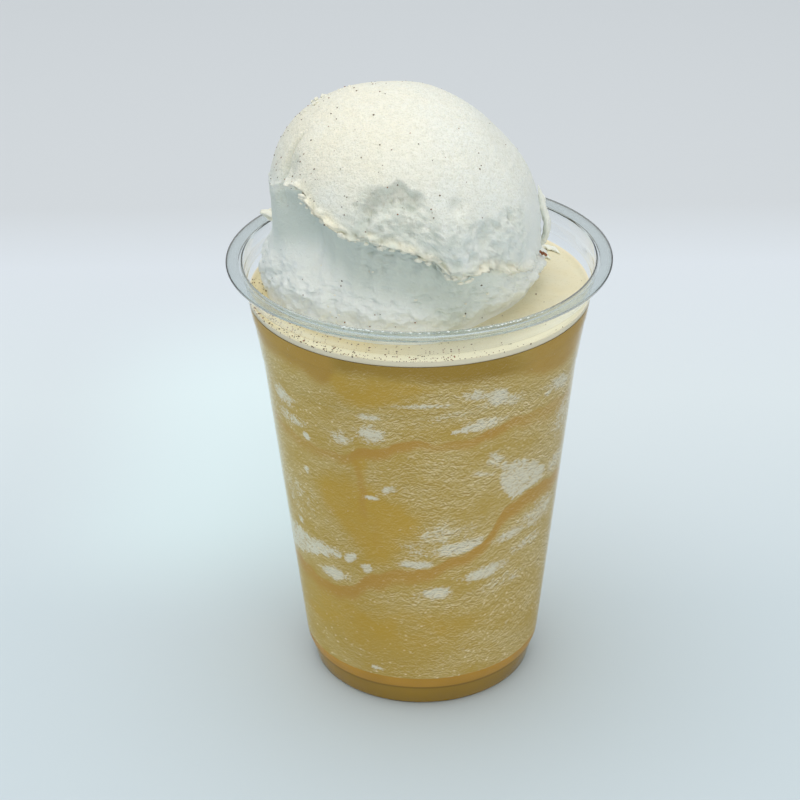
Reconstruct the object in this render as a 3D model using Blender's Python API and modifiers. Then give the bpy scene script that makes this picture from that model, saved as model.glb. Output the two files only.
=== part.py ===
"""A clear plastic cup of frozen chai, topped with froth and one big dollop of whipped cream.

The cup stands on z = 0 with its axis on +Z, and its front faces -Y. Every size below is in
millimetres. MM turns it into metres where a mesh is made.

The pieces, from the table up:
  cup             the clear cup, one thin wall from the open curl of its lip to its floor
  settled_chai    the clear liquid in the foot of the cup
  frozen_chai     the icy slush that fills the cup
  froth           the pale layer on the drink, which climbs the wall and goes round the cream
  whipped_cream   the dollop, a torn cap over a wider foot, with a dab that reaches the lip
"""

import math

import bmesh
import bpy
from mathutils import Vector, noise

MM = 0.001
STEPS = 64
MERGE = 0.00001
GAP = 0.3

# The cup's outside
CUP_HEIGHT = 119.0
RIM_RADIUS = 49.0
BASE_RADIUS = 29.3
FOOT_RADIUS = 30.7
FOOT_HEIGHT = 6.2
SHOULDER_RADIUS = 31.8
SHOULDER_HEIGHT = 10.5
SHOULDER_BULGE = 0.3
WALL = 0.5
STACK_RADIUS = 40.7
STACK_HEIGHT = 92.7
STACK_RISE = 10.8
STACK_STEP = 0.2
STEP_HEIGHT = 0.8
UPPER_SLOPE = 0.165

# A mitred corner moves out no further than its distance over this share
LEAST_MITRE = 0.3

# The open curl of the lip
LIP_HEIGHT = 1.9
LIP_START = -125.0
LIP_END = 180.0
LIP_PIECES = 8

# The foot ring and the raised floor
RING_OUTER = 28.3
RING_INNER = 27.0
PUNT_RADIUS = 24.7
PUNT_HEIGHT = 2.8
FLOOR_RISE = 0.5

# The levels of the drink
SETTLED_TOP = 9.6
FROTH_UNDERSIDE = 108.2
FROTH_TOP = 108.9
MENISCUS_RISE = 0.8
MENISCUS_WIDTH = 1.6
FROTH_RING = 1.6

# The froth's climb bends at this share of its width and of its rise
MENISCUS_BEND = 1 / 3

# The cutter for the cream's foot is this many times as high as the froth
CUTTER_TIMES = 4

# The dollop: where its axis stands, its heights, and how far its top leans to the left
CREAM_X = -3.2
CREAM_Y = 0.0
CREAM_TOP = 162.0
CREAM_LEAN = 4.5
CAP_MIDDLE = 129.4
CAP_POWER = 2.1
SKIRT_HEIGHT = 116.1

# Reaches and heights round the dollop, one value each 45 degrees from +X through +Y
CAP_REACH = (33.5, 34.1, 34.5, 34.9, 34.3, 35.3, 35.5, 35.1)
LEDGE_HEIGHT = (121.5, 124.5, 129.4, 135.2, 142.0, 142.6, 135.4, 125.9)
LEDGE_DEPTH = (0.6, 1.0, 1.2, 1.0, 0.6, 4.6, 5.5, 2.2)
SKIRT_REACH = (35.1, 36.3, 35.8, 36.8, 36.7, 33.7, 33.3, 31.4)
FOOT_REACH = (31.4, 35.7, 35.3, 36.3, 35.8, 33.2, 32.4, 27.8)

# The waist lies this share of the way from the cap's torn edge down to the skirt
WAIST_SHARE = 0.5

# How the band under the torn edge droops: 1 is straight, more bends it in
LEDGE_DROOP = 1.5

# Waves along the torn edge: how many go round, depth, start in radians
LEDGE_WAVES = ((7, 0.9, 0.4), (13, 0.6, 0.0))

# The dollop's mesh, and where each stretch of it ends on the way from the top pole to the lower one
CREAM_SEGMENTS = 64
CREAM_RINGS = 38
CAP_SHARE = 0.52
LEDGE_SHARE = 0.68
SKIRT_SHARE = 0.84
FOOT_SHARE = 0.93
LUMP_SIZE = 15.0
LUMP_DEPTH = 0.7
LUMP_FADE = 6.0

# Hollows torn in the dollop: azimuth, elevation, half width, half height, depth. Each runs out a
# little past its half sizes.
HOLLOW_SPREAD = 1.3
CREAM_CENTRE = Vector((-3.2, 0.0, 127.1))
HOLLOWS = (
    (267.0, 28.0, 7.0, 7.0, 2.8),
    (304.0, 13.0, 3.2, 4.0, 2.4),
    (293.0, 27.0, 2.6, 3.0, 1.6),
    (208.0, 33.0, 2.6, 4.0, 1.8),
)

# The upright fold at the left of the cap
FOLD_AZIMUTH = 201.0
FOLD_HALF_ANGLE = 7.0
FOLD_DEPTH = 1.8
FOLD_TOP = 157.0
FOLD_FADE = 8.0

# The dab of cream that reaches over the lip at the left
DAB_AZIMUTH = 151.0
DAB_INNER = 32.3
DAB_OUTER = 47.4
DAB_HEIGHT = 120.4
DAB_HALF_WIDTH = 2.6
DAB_HALF_HEIGHT = 1.7
DAB_SEGMENTS = 12
DAB_RINGS = 8


def clear_scene():
    """Remove what a new scene starts with."""
    for thing in list(bpy.data.objects):
        bpy.data.objects.remove(thing, do_unlink=True)


def make_collection(name):
    """Make a collection under the scene."""
    collection = bpy.data.collections.new(name)
    bpy.context.scene.collection.children.link(collection)
    return collection


def make_material(name, colour, roughness, alpha=1.0):
    """Make a Principled material."""
    material = bpy.data.materials.new(name)
    material.use_nodes = True
    shader = material.node_tree.nodes["Principled BSDF"]
    shader.inputs["Base Color"].default_value = (*colour, 1.0)
    shader.inputs["Roughness"].default_value = roughness
    shader.inputs["Metallic"].default_value = 0.0
    shader.inputs["Alpha"].default_value = alpha
    material.diffuse_color = (*colour, alpha)
    return material


def add_object(name, mesh, collection, material):
    """Put a mesh in the scene as a named object with its material."""
    mesh.materials.append(material)
    thing = bpy.data.objects.new(name, mesh)
    collection.objects.link(thing)
    return thing


def wall_radius(height):
    """Give the outer radius of the plain wall at a height above the foot."""
    body_slope = (STACK_RADIUS - SHOULDER_RADIUS) / (STACK_HEIGHT - SHOULDER_HEIGHT)
    if height <= STACK_HEIGHT:
        return SHOULDER_RADIUS + body_slope * (height - SHOULDER_HEIGHT)
    radius = STACK_RADIUS + UPPER_SLOPE * (height - STACK_HEIGHT)
    radius += STACK_STEP * min(1.0, (height - STACK_HEIGHT) / STEP_HEIGHT)
    second = STACK_HEIGHT + STACK_RISE
    if height > second:
        radius += STACK_STEP * min(1.0, (height - second) / STEP_HEIGHT)
    return radius


def lip_path():
    """Give the middle line of the lip, from the free end of its curl over to the inside."""
    half = WALL / 2
    middle_height = CUP_HEIGHT - LIP_HEIGHT / 2
    inner = wall_radius(middle_height) - half
    outer = RIM_RADIUS - half
    across = (outer - inner) / 2
    up = LIP_HEIGHT / 2 - half
    points = []
    for index in range(LIP_PIECES + 1):
        angle = math.radians(LIP_START + (LIP_END - LIP_START) * index / LIP_PIECES)
        points.append((inner + across + across * math.cos(angle), middle_height + up * math.sin(angle)))
    return points


def side_path():
    """Give the middle line of the side, from under the lip down to the foot ring."""
    half = WALL / 2
    second = STACK_HEIGHT + STACK_RISE
    heights = [CUP_HEIGHT - LIP_HEIGHT]
    heights += [second + STEP_HEIGHT, second, STACK_HEIGHT + STEP_HEIGHT, STACK_HEIGHT, SHOULDER_HEIGHT]
    points = [(wall_radius(height) - half, height) for height in heights]
    middle = (FOOT_RADIUS + SHOULDER_RADIUS) / 2 + SHOULDER_BULGE
    points.append((middle - half, (FOOT_HEIGHT + SHOULDER_HEIGHT) / 2))
    points.append((FOOT_RADIUS - half, FOOT_HEIGHT))
    points.append((BASE_RADIUS - half, 2 * WALL))
    return points


def floor_path():
    """Give the middle line of the foot ring and the raised floor, as far as the axis."""
    half = WALL / 2
    points = [(RING_OUTER, half), (RING_INNER, half), (PUNT_RADIUS, PUNT_HEIGHT)]
    points.append((0.0, PUNT_HEIGHT + FLOOR_RISE))
    return points


def offset_path(points, distance):
    """Move a path to its left by a distance, with mitred corners and its last end on the axis."""
    moved = []
    for index, point in enumerate(points):
        before = Vector(points[max(index - 1, 0)])
        after = Vector(points[min(index + 1, len(points) - 1)])
        here = Vector(point)
        first = (here - before).normalized() if index else (after - here).normalized()
        last = (after - here).normalized() if index < len(points) - 1 else first
        normal_a = Vector((first.y, -first.x))
        normal_b = Vector((last.y, -last.x))
        mitre = (normal_a + normal_b).normalized()
        spread = max(mitre.dot(normal_a), LEAST_MITRE)
        moved.append(here + mitre * (distance / spread))
    moved[-1].x = 0.0
    return [(point.x, point.y) for point in moved]


def inner_path():
    """Give the line that the drink fills to: the inside of the wall and floor, less the gap."""
    return offset_path(side_path() + floor_path(), WALL / 2 + GAP)


def radius_on(path, height):
    """Give the radius of a path that runs down, where it first passes a height."""
    for (radius_a, height_a), (radius_b, height_b) in zip(path, path[1:]):
        if height_b <= height <= height_a:
            share = (height_a - height) / (height_a - height_b)
            return radius_a + (radius_b - radius_a) * share
    raise ValueError("the path doesn't reach that height")


def turned(name, profile, collection, material, steps=STEPS):
    """Turn a profile in the XZ plane about the Z axis."""
    mesh = bpy.data.meshes.new(name)
    points = [(radius * MM, 0.0, height * MM) for radius, height in profile]
    mesh.from_pydata(points, [(index, index + 1) for index in range(len(points) - 1)], [])
    thing = add_object(name, mesh, collection, material)
    screw = thing.modifiers.new("Turn", "SCREW")
    screw.axis = "Z"
    screw.angle = math.tau
    screw.steps = steps
    screw.render_steps = steps
    screw.use_merge_vertices = True
    screw.merge_threshold = MERGE
    screw.use_smooth_shade = True
    return thing


def make_cup(collection):
    """Make the cup: its middle line turned, then given the wall's thickness."""
    material = make_material("clear_plastic", (0.86, 0.90, 0.90), 0.05, 0.25)
    cup = turned("cup", lip_path() + side_path() + floor_path(), collection, material)
    shell = cup.modifiers.new("Wall", "SOLIDIFY")
    shell.thickness = WALL * MM
    shell.offset = 0.0
    shell.use_even_offset = True
    shell.use_rim = True
    return cup


def make_settled_chai(collection):
    """Make the clear liquid in the foot, from its level down to the raised floor."""
    material = make_material("clear_chai", (0.33, 0.19, 0.045), 0.2)
    path = inner_path()
    below = [point for point in path if point[1] < SETTLED_TOP - GAP]
    start = path.index(below[0])
    profile = [(0.0, SETTLED_TOP), (radius_on(path, SETTLED_TOP), SETTLED_TOP)] + path[start:]
    return turned("settled_chai", profile, collection, material)


def make_frozen_chai(collection):
    """Make the slush, from the froth's underside down to the settled liquid."""
    material = make_material("icy_chai", (0.37, 0.28, 0.12), 0.5)
    path = inner_path()
    top = FROTH_UNDERSIDE - GAP
    bottom = SETTLED_TOP + GAP
    between = [point for point in path if bottom + GAP < point[1] < top - GAP]
    profile = [(0.0, top), (radius_on(path, top), top)]
    profile += between
    profile += [(radius_on(path, bottom), bottom), (0.0, bottom)]
    return turned("frozen_chai", profile, collection, material)


def make_froth(collection, cutters):
    """Make the pale layer, raised where it climbs the wall and cut round the cream's foot."""
    material = make_material("froth", (0.68, 0.64, 0.43), 0.6)
    path = inner_path()
    edge = FROTH_TOP + MENISCUS_RISE
    outer = radius_on(path, edge)
    profile = [(0.0, FROTH_TOP), (outer - MENISCUS_WIDTH, FROTH_TOP)]
    bend = (outer - MENISCUS_WIDTH * MENISCUS_BEND, FROTH_TOP + MENISCUS_RISE * MENISCUS_BEND)
    profile.append(bend)
    profile.append((outer, edge))
    profile.append((radius_on(path, FROTH_UNDERSIDE), FROTH_UNDERSIDE))
    profile.append((0.0, FROTH_UNDERSIDE))
    froth = turned("froth", profile, collection, material)
    cut = froth.modifiers.new("Round the cream", "BOOLEAN")
    cut.operation = "DIFFERENCE"
    cut.solver = "EXACT"
    cut.object = make_foot_cutter(cutters)
    return froth


def make_foot_cutter(cutters):
    """Make the upright prism that leaves room in the froth for the cream's foot."""
    mesh = bpy.data.meshes.new("cream_foot_cutter")
    shape = bmesh.new()
    height = CUTTER_TIMES * (FROTH_TOP - FROTH_UNDERSIDE)
    bmesh.ops.create_cone(
        shape, cap_ends=True, segments=CREAM_SEGMENTS, radius1=1.0, radius2=1.0, depth=height * MM)
    middle = (FROTH_TOP + FROTH_UNDERSIDE) / 2 * MM
    for vertex in shape.verts:
        azimuth = math.degrees(math.atan2(vertex.co.y, vertex.co.x)) % 360
        reach = foot_reach(azimuth) + GAP
        vertex.co.x = (CREAM_X + reach * math.cos(math.radians(azimuth))) * MM
        vertex.co.y = (CREAM_Y + reach * math.sin(math.radians(azimuth))) * MM
        vertex.co.z += middle
    shape.to_mesh(mesh)
    shape.free()
    cutter = bpy.data.objects.new("cream_foot_cutter", mesh)
    cutters.objects.link(cutter)
    cutter.hide_render = True
    cutter.display_type = "WIRE"
    return cutter


def smooth(share):
    """Ease a share from 0 to 1 with level ends."""
    share = min(max(share, 0.0), 1.0)
    return share * share * (3.0 - 2.0 * share)


def around(values, azimuth):
    """Read a value at an azimuth from values spread evenly round the dollop, on a smooth curve."""
    place = azimuth / 360 * len(values)
    index = math.floor(place)
    share = place - index
    before, here, after, beyond = (values[(index + step) % len(values)] for step in (-1, 0, 1, 2))
    slope_here = (after - before) / 2
    slope_after = (beyond - here) / 2
    rise = after - here
    square = share * share
    cube = square * share
    return (here + slope_here * (share - 2 * square + cube) + slope_after * (cube - square)
            + rise * (3 * square - 2 * cube))


def foot_reach(azimuth):
    """Give the reach of the dollop's foot, which leaves a ring of froth along the wall."""
    reach = around(FOOT_REACH, azimuth)
    limit = radius_on(inner_path(), FROTH_UNDERSIDE) - FROTH_RING
    direction = math.radians(azimuth)
    along = CREAM_X * math.cos(direction) + CREAM_Y * math.sin(direction)
    across = CREAM_X * math.sin(direction) - CREAM_Y * math.cos(direction)
    return min(reach, math.sqrt(limit * limit - across * across) - along)


def cap_radius(azimuth, height):
    """Give the radius of the dollop's cap at a height."""
    reach = around(CAP_REACH, azimuth)
    if height <= CAP_MIDDLE:
        return reach
    share = min((height - CAP_MIDDLE) / (CREAM_TOP - CAP_MIDDLE), 1.0)
    return reach * (1.0 - share ** CAP_POWER) ** (1.0 / CAP_POWER)


def ledge_height(azimuth):
    """Give the height of the cap's torn edge, which wanders a little on its way round."""
    direction = math.radians(azimuth)
    wander = sum(depth * math.sin(count * direction + start) for count, depth, start in LEDGE_WAVES)
    return around(LEDGE_HEIGHT, azimuth) + wander


def cream_profile(azimuth, share):
    """Give radius and height on the dollop's side, for a share of the way from pole to pole."""
    ledge = ledge_height(azimuth)
    edge = cap_radius(azimuth, ledge)
    waist = edge - around(LEDGE_DEPTH, azimuth)
    waist_height = ledge - WAIST_SHARE * (ledge - SKIRT_HEIGHT)
    skirt = around(SKIRT_REACH, azimuth)
    foot = foot_reach(azimuth)
    if share <= CAP_SHARE:
        turn = math.sin(share / CAP_SHARE * math.pi / 4) ** 2 * 2
        height = CREAM_TOP - (CREAM_TOP - ledge) * turn
        return cap_radius(azimuth, height), height
    if share <= LEDGE_SHARE:
        way = (share - CAP_SHARE) / (LEDGE_SHARE - CAP_SHARE)
        radius = edge + (waist - edge) * (1.0 - (1.0 - way) ** 2)
        return radius, ledge + (waist_height - ledge) * way ** LEDGE_DROOP
    if share <= SKIRT_SHARE:
        way = (share - LEDGE_SHARE) / (SKIRT_SHARE - LEDGE_SHARE)
        return waist + (skirt - waist) * smooth(way), waist_height + (SKIRT_HEIGHT - waist_height) * way
    if share <= FOOT_SHARE:
        way = (share - SKIRT_SHARE) / (FOOT_SHARE - SKIRT_SHARE)
        height = SKIRT_HEIGHT + (FROTH_UNDERSIDE - SKIRT_HEIGHT) * way
        tuck = smooth((SKIRT_HEIGHT - height) / (SKIRT_HEIGHT - FROTH_TOP - MENISCUS_RISE))
        return skirt + (foot - skirt) * tuck, height
    return foot * (1.0 - share) / (1.0 - FOOT_SHARE), FROTH_UNDERSIDE


def hollow_depth(direction):
    """Give how deep the torn hollows sink a point in a direction from the centre."""
    azimuth = math.degrees(math.atan2(direction.y, direction.x)) % 360
    elevation = math.degrees(math.asin(direction.z))
    per_degree = math.radians(around(CAP_REACH, azimuth))
    depth = 0.0
    for middle, height, half_width, half_height, deepest in HOLLOWS:
        across = (azimuth - middle) * per_degree * math.cos(math.radians(elevation)) / half_width
        along = (elevation - height) * per_degree / half_height
        depth += deepest * (1.0 - smooth(math.hypot(across, along) / HOLLOW_SPREAD))
    return depth


def fold_depth(azimuth, height):
    """Give how deep the upright fold at the cap's left is, which dies out above and ends at the ledge."""
    across = abs(azimuth - FOLD_AZIMUTH) / FOLD_HALF_ANGLE
    upper = smooth((FOLD_TOP - height) / FOLD_FADE)
    lower = smooth((height - ledge_height(azimuth)) / FOLD_FADE + 1.0)
    return FOLD_DEPTH * (1.0 - smooth(across)) * upper * lower


def cream_point(azimuth, share):
    """Give a point on the dollop in millimetres."""
    radius, height = cream_profile(azimuth, share)
    direction = math.radians(azimuth)
    radius = max(radius - fold_depth(azimuth, height), 0.0)
    lean = CREAM_LEAN * smooth((height - CAP_MIDDLE) / (CREAM_TOP - CAP_MIDDLE))
    x = CREAM_X - lean + radius * math.cos(direction)
    point = Vector((x, CREAM_Y + radius * math.sin(direction), height))
    if share > FOOT_SHARE or height < FROTH_TOP + MENISCUS_RISE:
        return point
    outward = (point - CREAM_CENTRE).normalized()
    fade = smooth((height - FROTH_TOP - MENISCUS_RISE) / LUMP_FADE)
    lumps = noise.noise(point / LUMP_SIZE) * LUMP_DEPTH
    return point + outward * fade * (lumps - hollow_depth(outward))


def make_cream(collection):
    """Make the dollop from a sphere whose points are moved out to the cream's form."""
    material = make_material("whipped_cream", (0.86, 0.87, 0.79), 0.55)
    mesh = bpy.data.meshes.new("whipped_cream")
    shape = bmesh.new()
    bmesh.ops.create_uvsphere(shape, u_segments=CREAM_SEGMENTS, v_segments=CREAM_RINGS, radius=1.0)
    for vertex in shape.verts:
        azimuth = math.degrees(math.atan2(vertex.co.y, vertex.co.x)) % 360
        share = math.acos(min(max(vertex.co.z, -1.0), 1.0)) / math.pi
        vertex.co = cream_point(azimuth, share) * MM
    shape.to_mesh(mesh)
    shape.free()
    mesh.shade_smooth()
    cream = add_object("whipped_cream", mesh, collection, material)
    join_dab(cream)
    return cream


def join_dab(cream):
    """Join to the dollop the dab that reaches out over the lip at the left."""
    mesh = bpy.data.meshes.new("cream_dab")
    shape = bmesh.new()
    bmesh.ops.create_uvsphere(shape, u_segments=DAB_SEGMENTS, v_segments=DAB_RINGS, radius=1.0)
    direction = math.radians(DAB_AZIMUTH)
    outward = Vector((math.cos(direction), math.sin(direction), 0.0))
    sideways = Vector((-outward.y, outward.x, 0.0))
    middle = outward * (DAB_INNER + DAB_OUTER) / 2 + Vector((0.0, 0.0, DAB_HEIGHT))
    half_length = (DAB_OUTER - DAB_INNER) / 2
    for vertex in shape.verts:
        along = outward * vertex.co.x * half_length
        across = sideways * vertex.co.y * DAB_HALF_WIDTH
        up = Vector((0.0, 0.0, vertex.co.z * DAB_HALF_HEIGHT))
        vertex.co = (middle + along + across + up) * MM
    shape.to_mesh(mesh)
    shape.free()
    dab = bpy.data.objects.new("cream_dab", mesh)
    bpy.context.scene.collection.objects.link(dab)
    union = cream.modifiers.new("Dab", "BOOLEAN")
    union.operation = "UNION"
    union.solver = "EXACT"
    union.object = dab
    graph = bpy.context.evaluated_depsgraph_get()
    joined = bpy.data.meshes.new_from_object(cream.evaluated_get(graph))
    cream.modifiers.clear()
    cream.data = joined
    bpy.data.objects.remove(dab, do_unlink=True)


def main():
    """Build the cup and what fills it."""
    clear_scene()
    collection = make_collection("cup_of_frozen_chai")
    cutters = make_collection("cutters")
    make_cup(collection)
    make_settled_chai(collection)
    make_frozen_chai(collection)
    make_froth(collection, cutters)
    make_cream(collection)


main()
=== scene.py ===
"""Looks of a clear cup of frozen chai under whipped cream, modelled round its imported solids.

Every piece stands in the frame of the solids: metres, +Z up, the cup's axis on Z, its front towards -Y.
The classes below hold their sizes in millimetres and their azimuths in degrees from +X through +Y, so the
front of the cup is at 270. MM turns a size into metres where a mesh is made.
"""

import logging
import math
from dataclasses import dataclass
from enum import Enum
from typing import Optional, Sequence, Union

import bmesh
import bpy
import numpy as np
from mathutils import Matrix, Vector, noise


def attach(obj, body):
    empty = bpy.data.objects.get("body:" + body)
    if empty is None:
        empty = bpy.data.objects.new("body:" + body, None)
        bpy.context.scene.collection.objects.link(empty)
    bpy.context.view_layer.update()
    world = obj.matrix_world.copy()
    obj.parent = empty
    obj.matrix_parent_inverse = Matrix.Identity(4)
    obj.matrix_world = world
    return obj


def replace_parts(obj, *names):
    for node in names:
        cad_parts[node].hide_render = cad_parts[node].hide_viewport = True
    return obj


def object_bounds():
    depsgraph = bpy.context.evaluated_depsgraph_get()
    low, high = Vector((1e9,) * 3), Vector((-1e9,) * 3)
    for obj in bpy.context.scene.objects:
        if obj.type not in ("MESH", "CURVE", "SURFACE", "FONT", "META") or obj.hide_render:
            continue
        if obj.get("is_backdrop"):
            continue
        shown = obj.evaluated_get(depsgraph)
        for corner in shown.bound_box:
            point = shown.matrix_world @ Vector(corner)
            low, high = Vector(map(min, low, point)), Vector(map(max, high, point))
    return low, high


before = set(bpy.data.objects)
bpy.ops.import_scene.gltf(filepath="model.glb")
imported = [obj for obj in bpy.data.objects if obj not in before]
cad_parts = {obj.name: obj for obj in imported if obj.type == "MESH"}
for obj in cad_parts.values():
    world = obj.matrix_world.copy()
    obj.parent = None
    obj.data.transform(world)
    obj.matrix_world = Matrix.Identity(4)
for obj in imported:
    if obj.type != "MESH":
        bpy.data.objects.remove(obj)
CAD_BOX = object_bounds()

MM = 0.001
BODY = "root"
MERGE = 0.000001
LOG = logging.getLogger("chai")

LIQUID_TOP = 9.75
SLUSH_TOP = 108.2
FROTH_TOP = 108.9
NECK_HEIGHT = 109.8
CREAM_AXIS = (-3.2, 0.0)

Colour = tuple[float, float, float, float]
Path = list[tuple[float, float]]
Term = Union[float, "Wire"]


class Slot(Enum):
    """The material slots that the record names."""

    PLASTIC = "clear_plastic"
    LIQUID = "clear_chai"
    SLUSH = "icy_chai"
    FROTH = "froth"
    CREAM = "cream"


# Colours, sums over a mesh and smooth curves


def paint(red: float, green: float, blue: float) -> Colour:
    """Give the linear colour of a screen colour.

    Args:
        red: Red on the screen, 0 to 255.
        green: Green on the screen, 0 to 255.
        blue: Blue on the screen, 0 to 255.

    Returns:
        The same colour as linear red, green, blue and an alpha of 1.
    """
    shares = [value / 255.0 for value in (red, green, blue)]
    linear = [share / 12.92 if share <= 0.04045 else ((share + 0.055) / 1.055) ** 2.4 for share in shares]
    return (linear[0], linear[1], linear[2], 1.0)


def eased(share: np.ndarray) -> np.ndarray:
    """Ease a share from 0 to 1 with level ends."""
    share = np.clip(share, 0.0, 1.0)
    return share * share * (3.0 - 2.0 * share)


def rise(value: np.ndarray, low: float, high: float) -> np.ndarray:
    """Ease a value from 0 at low to 1 at high."""
    return eased((value - low) / (high - low))


def turned_from(azimuth: np.ndarray, middle: float) -> np.ndarray:
    """Give the angle from a middle azimuth, from -180 to 180 degrees."""
    return (azimuth - middle + 180.0) % 360.0 - 180.0


def hump(value: np.ndarray, low: float, full: float, fade: float, end: float) -> np.ndarray:
    """Ease a value up from low to full, and down again from fade to end."""
    return rise(value, low, full) * (1.0 - rise(value, fade, end))


def near_azimuth(azimuth: np.ndarray, middle: float, full: float, end: float) -> np.ndarray:
    """Give 1 up to some degrees from a middle azimuth, and 0 from further degrees on."""
    return 1.0 - rise(np.abs(turned_from(azimuth, middle)), full, end)


def around(values: Sequence[float], azimuth: np.ndarray) -> np.ndarray:
    """Read values spread evenly round a circle on a smooth curve.

    Args:
        values: The values, the first at azimuth 0.
        azimuth: Where to read, in degrees.

    Returns:
        The value at each azimuth.
    """
    table = np.array(values)
    place = azimuth / 360.0 * len(values)
    index = np.floor(place).astype(int)
    share = place - index
    before, here, after, beyond = (table[(index + step) % len(values)] for step in (-1, 0, 1, 2))
    square = share * share
    cube = square * share
    return (here + (after - before) / 2 * (share - 2 * square + cube)
            + (beyond - here) / 2 * (cube - square) + (after - here) * (3 * square - 2 * cube))


def along_ring(points: Sequence[tuple[float, float]], azimuth: np.ndarray, soften: float) -> np.ndarray:
    """Read a curve given by points round the cup, with its corners softened.

    Args:
        points: Pairs of azimuth and value, in order of azimuth.
        azimuth: Where to read, in degrees.
        soften: The half width of the softening, in degrees.

    Returns:
        The curve's value at each azimuth.
    """
    places = np.array([place for place, _ in points])
    values = np.array([value for _, value in points])
    taps = np.linspace(-soften, soften, 5)
    reads = [np.interp((azimuth + tap) % 360.0, places, values, period=360.0) for tap in taps]
    return np.mean(reads, axis=0)


def cloud(points: np.ndarray, size: float, octaves: int = 1, seed: float = 0.0) -> np.ndarray:
    """Give smooth noise of about -1 to 1.

    Args:
        points: Places in millimetres, one row each.
        size: The size of the noise's lumps in millimetres.
        octaves: How many finer layers are added.
        seed: Moves the noise, so that two fields differ.

    Returns:
        The noise at each place.
    """
    places = points / size + seed
    if octaves == 1:
        return np.array([noise.noise(Vector(place)) for place in places])
    return np.array([noise.fractal(Vector(place), 1.0, 2.0, octaves) for place in places])


@dataclass(frozen=True)
class Lumps:
    """A layer of uneven lumps: their size, height, finer layers, seed and pull along X, Y and Z."""

    size: float
    height: float
    octaves: int = 1
    seed: float = 0.0
    pull: tuple[float, float, float] = (1.0, 1.0, 1.0)

    def field(self, points: np.ndarray) -> np.ndarray:
        """Give the height of the lumps at each place."""
        return cloud(points * self.pull, self.size, self.octaves, self.seed) * self.height

    def ridges(self, points: np.ndarray, level: float) -> np.ndarray:
        """Give ridges instead, which stand where the lumps cross zero, up to a share of their height."""
        return level * self.height - np.abs(self.field(points))


def spot_at(azimuth: float, reach: float, height: float, axis: tuple[float, float] = (0.0, 0.0)) -> Vector:
    """Give the place at an azimuth, at a reach from an upright axis."""
    turn = math.radians(azimuth)
    return Vector((axis[0] + reach * math.cos(turn), axis[1] + reach * math.sin(turn), height))


def mesh_of(shape: bmesh.types.BMesh, name: str) -> bpy.types.Mesh:
    """Turn a shape into a mesh.

    Args:
        shape: The shape, which is freed.
        name: The mesh's name.

    Returns:
        The mesh.
    """
    mesh = bpy.data.meshes.new(name)
    shape.to_mesh(mesh)
    shape.free()
    return mesh


def mesh_points(mesh: bpy.types.Mesh) -> np.ndarray:
    """Read the points of a mesh.

    Args:
        mesh: The mesh, in metres.

    Returns:
        Its points in millimetres, one row each.
    """
    flat = np.empty(len(mesh.vertices) * 3, dtype=np.float32)
    mesh.vertices.foreach_get("co", flat)
    return flat.reshape(-1, 3).astype(float) / MM


def note(mesh: bpy.types.Mesh, name: str, values: np.ndarray) -> None:
    """Keep a value for each point of a mesh, for its material to read."""
    layer = mesh.attributes.new(name, "FLOAT", "POINT")
    layer.data.foreach_set("value", values.astype(np.float32))


def note_even(mesh: bpy.types.Mesh, values: Sequence[tuple[str, float]]) -> None:
    """Keep the same values at all points of a mesh."""
    for name, value in values:
        note(mesh, name, np.full(len(mesh.vertices), value))


def azimuth_of(points: np.ndarray) -> np.ndarray:
    """Give the azimuth of points, in degrees from 0 to 360."""
    return np.degrees(np.arctan2(points[:, 1], points[:, 0])) % 360.0


def lathe(name: str, path: Path, steps: int) -> bpy.types.Mesh:
    """Turn a path in the XZ plane about the Z axis.

    Args:
        name: The mesh's name.
        path: Radii and heights in millimetres.
        steps: How many sides the turn has.

    Returns:
        The mesh, with its faces pointing out.
    """
    shape = bmesh.new()
    spots = [shape.verts.new((radius * MM, 0.0, height * MM)) for radius, height in path]
    edges = [shape.edges.new(pair) for pair in zip(spots, spots[1:])]
    bmesh.ops.spin(shape, geom=spots + edges, cent=(0, 0, 0), axis=(0, 0, 1), angle=math.tau, steps=steps,
                   use_merge=True)
    bmesh.ops.remove_doubles(shape, verts=shape.verts, dist=MERGE)
    bmesh.ops.recalc_face_normals(shape, faces=shape.faces)
    return mesh_of(shape, name)


def grid_mesh(name: str, points: np.ndarray, wrap_rows: bool = False) -> bpy.types.Mesh:
    """Join rows of points that each go round a ring into one surface.

    Args:
        name: The mesh's name.
        points: Places in millimetres, as rows by columns by 3.
        wrap_rows: Whether the last row joins the first, or else closes to a point at each end.

    Returns:
        The mesh, with its faces pointing out.
    """
    rows, columns = points.shape[:2]
    index = np.arange(rows * columns).reshape(rows, columns)
    if wrap_rows:
        index = np.vstack([index, index[:1]])
    right = np.roll(index, -1, axis=1)
    faces = np.stack([index[:-1], right[:-1], right[1:], index[1:]], axis=-1).reshape(-1, 4)
    mesh = bpy.data.meshes.new(name)
    mesh.from_pydata((points.reshape(-1, 3) * MM).tolist(), [], faces.tolist())
    shape = bmesh.new()
    shape.from_mesh(mesh)
    if not wrap_rows:
        spots = list(shape.verts)
        for ring in (spots[:columns], spots[-columns:]):
            bmesh.ops.pointmerge(shape, verts=ring, merge_co=ring[0].co)
    bmesh.ops.recalc_face_normals(shape, faces=shape.faces)
    shape.to_mesh(mesh)
    shape.free()
    return mesh


def place_piece(name: str, mesh: bpy.types.Mesh, material: bpy.types.Material) -> bpy.types.Object:
    """Put a mesh in the scene as a piece of the cup.

    Args:
        name: The piece's name.
        mesh: Its mesh, in place.
        material: Its finish.

    Returns:
        The piece, which rides on the cup's body.
    """
    mesh.materials.append(material)
    mesh.shade_smooth()
    piece = bpy.data.objects.new(name, mesh)
    bpy.context.scene.collection.objects.link(piece)
    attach(piece, BODY)
    LOG.info("%s: %d points, %d faces", name, len(mesh.vertices), len(mesh.polygons))
    return piece


# Shader sums


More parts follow.
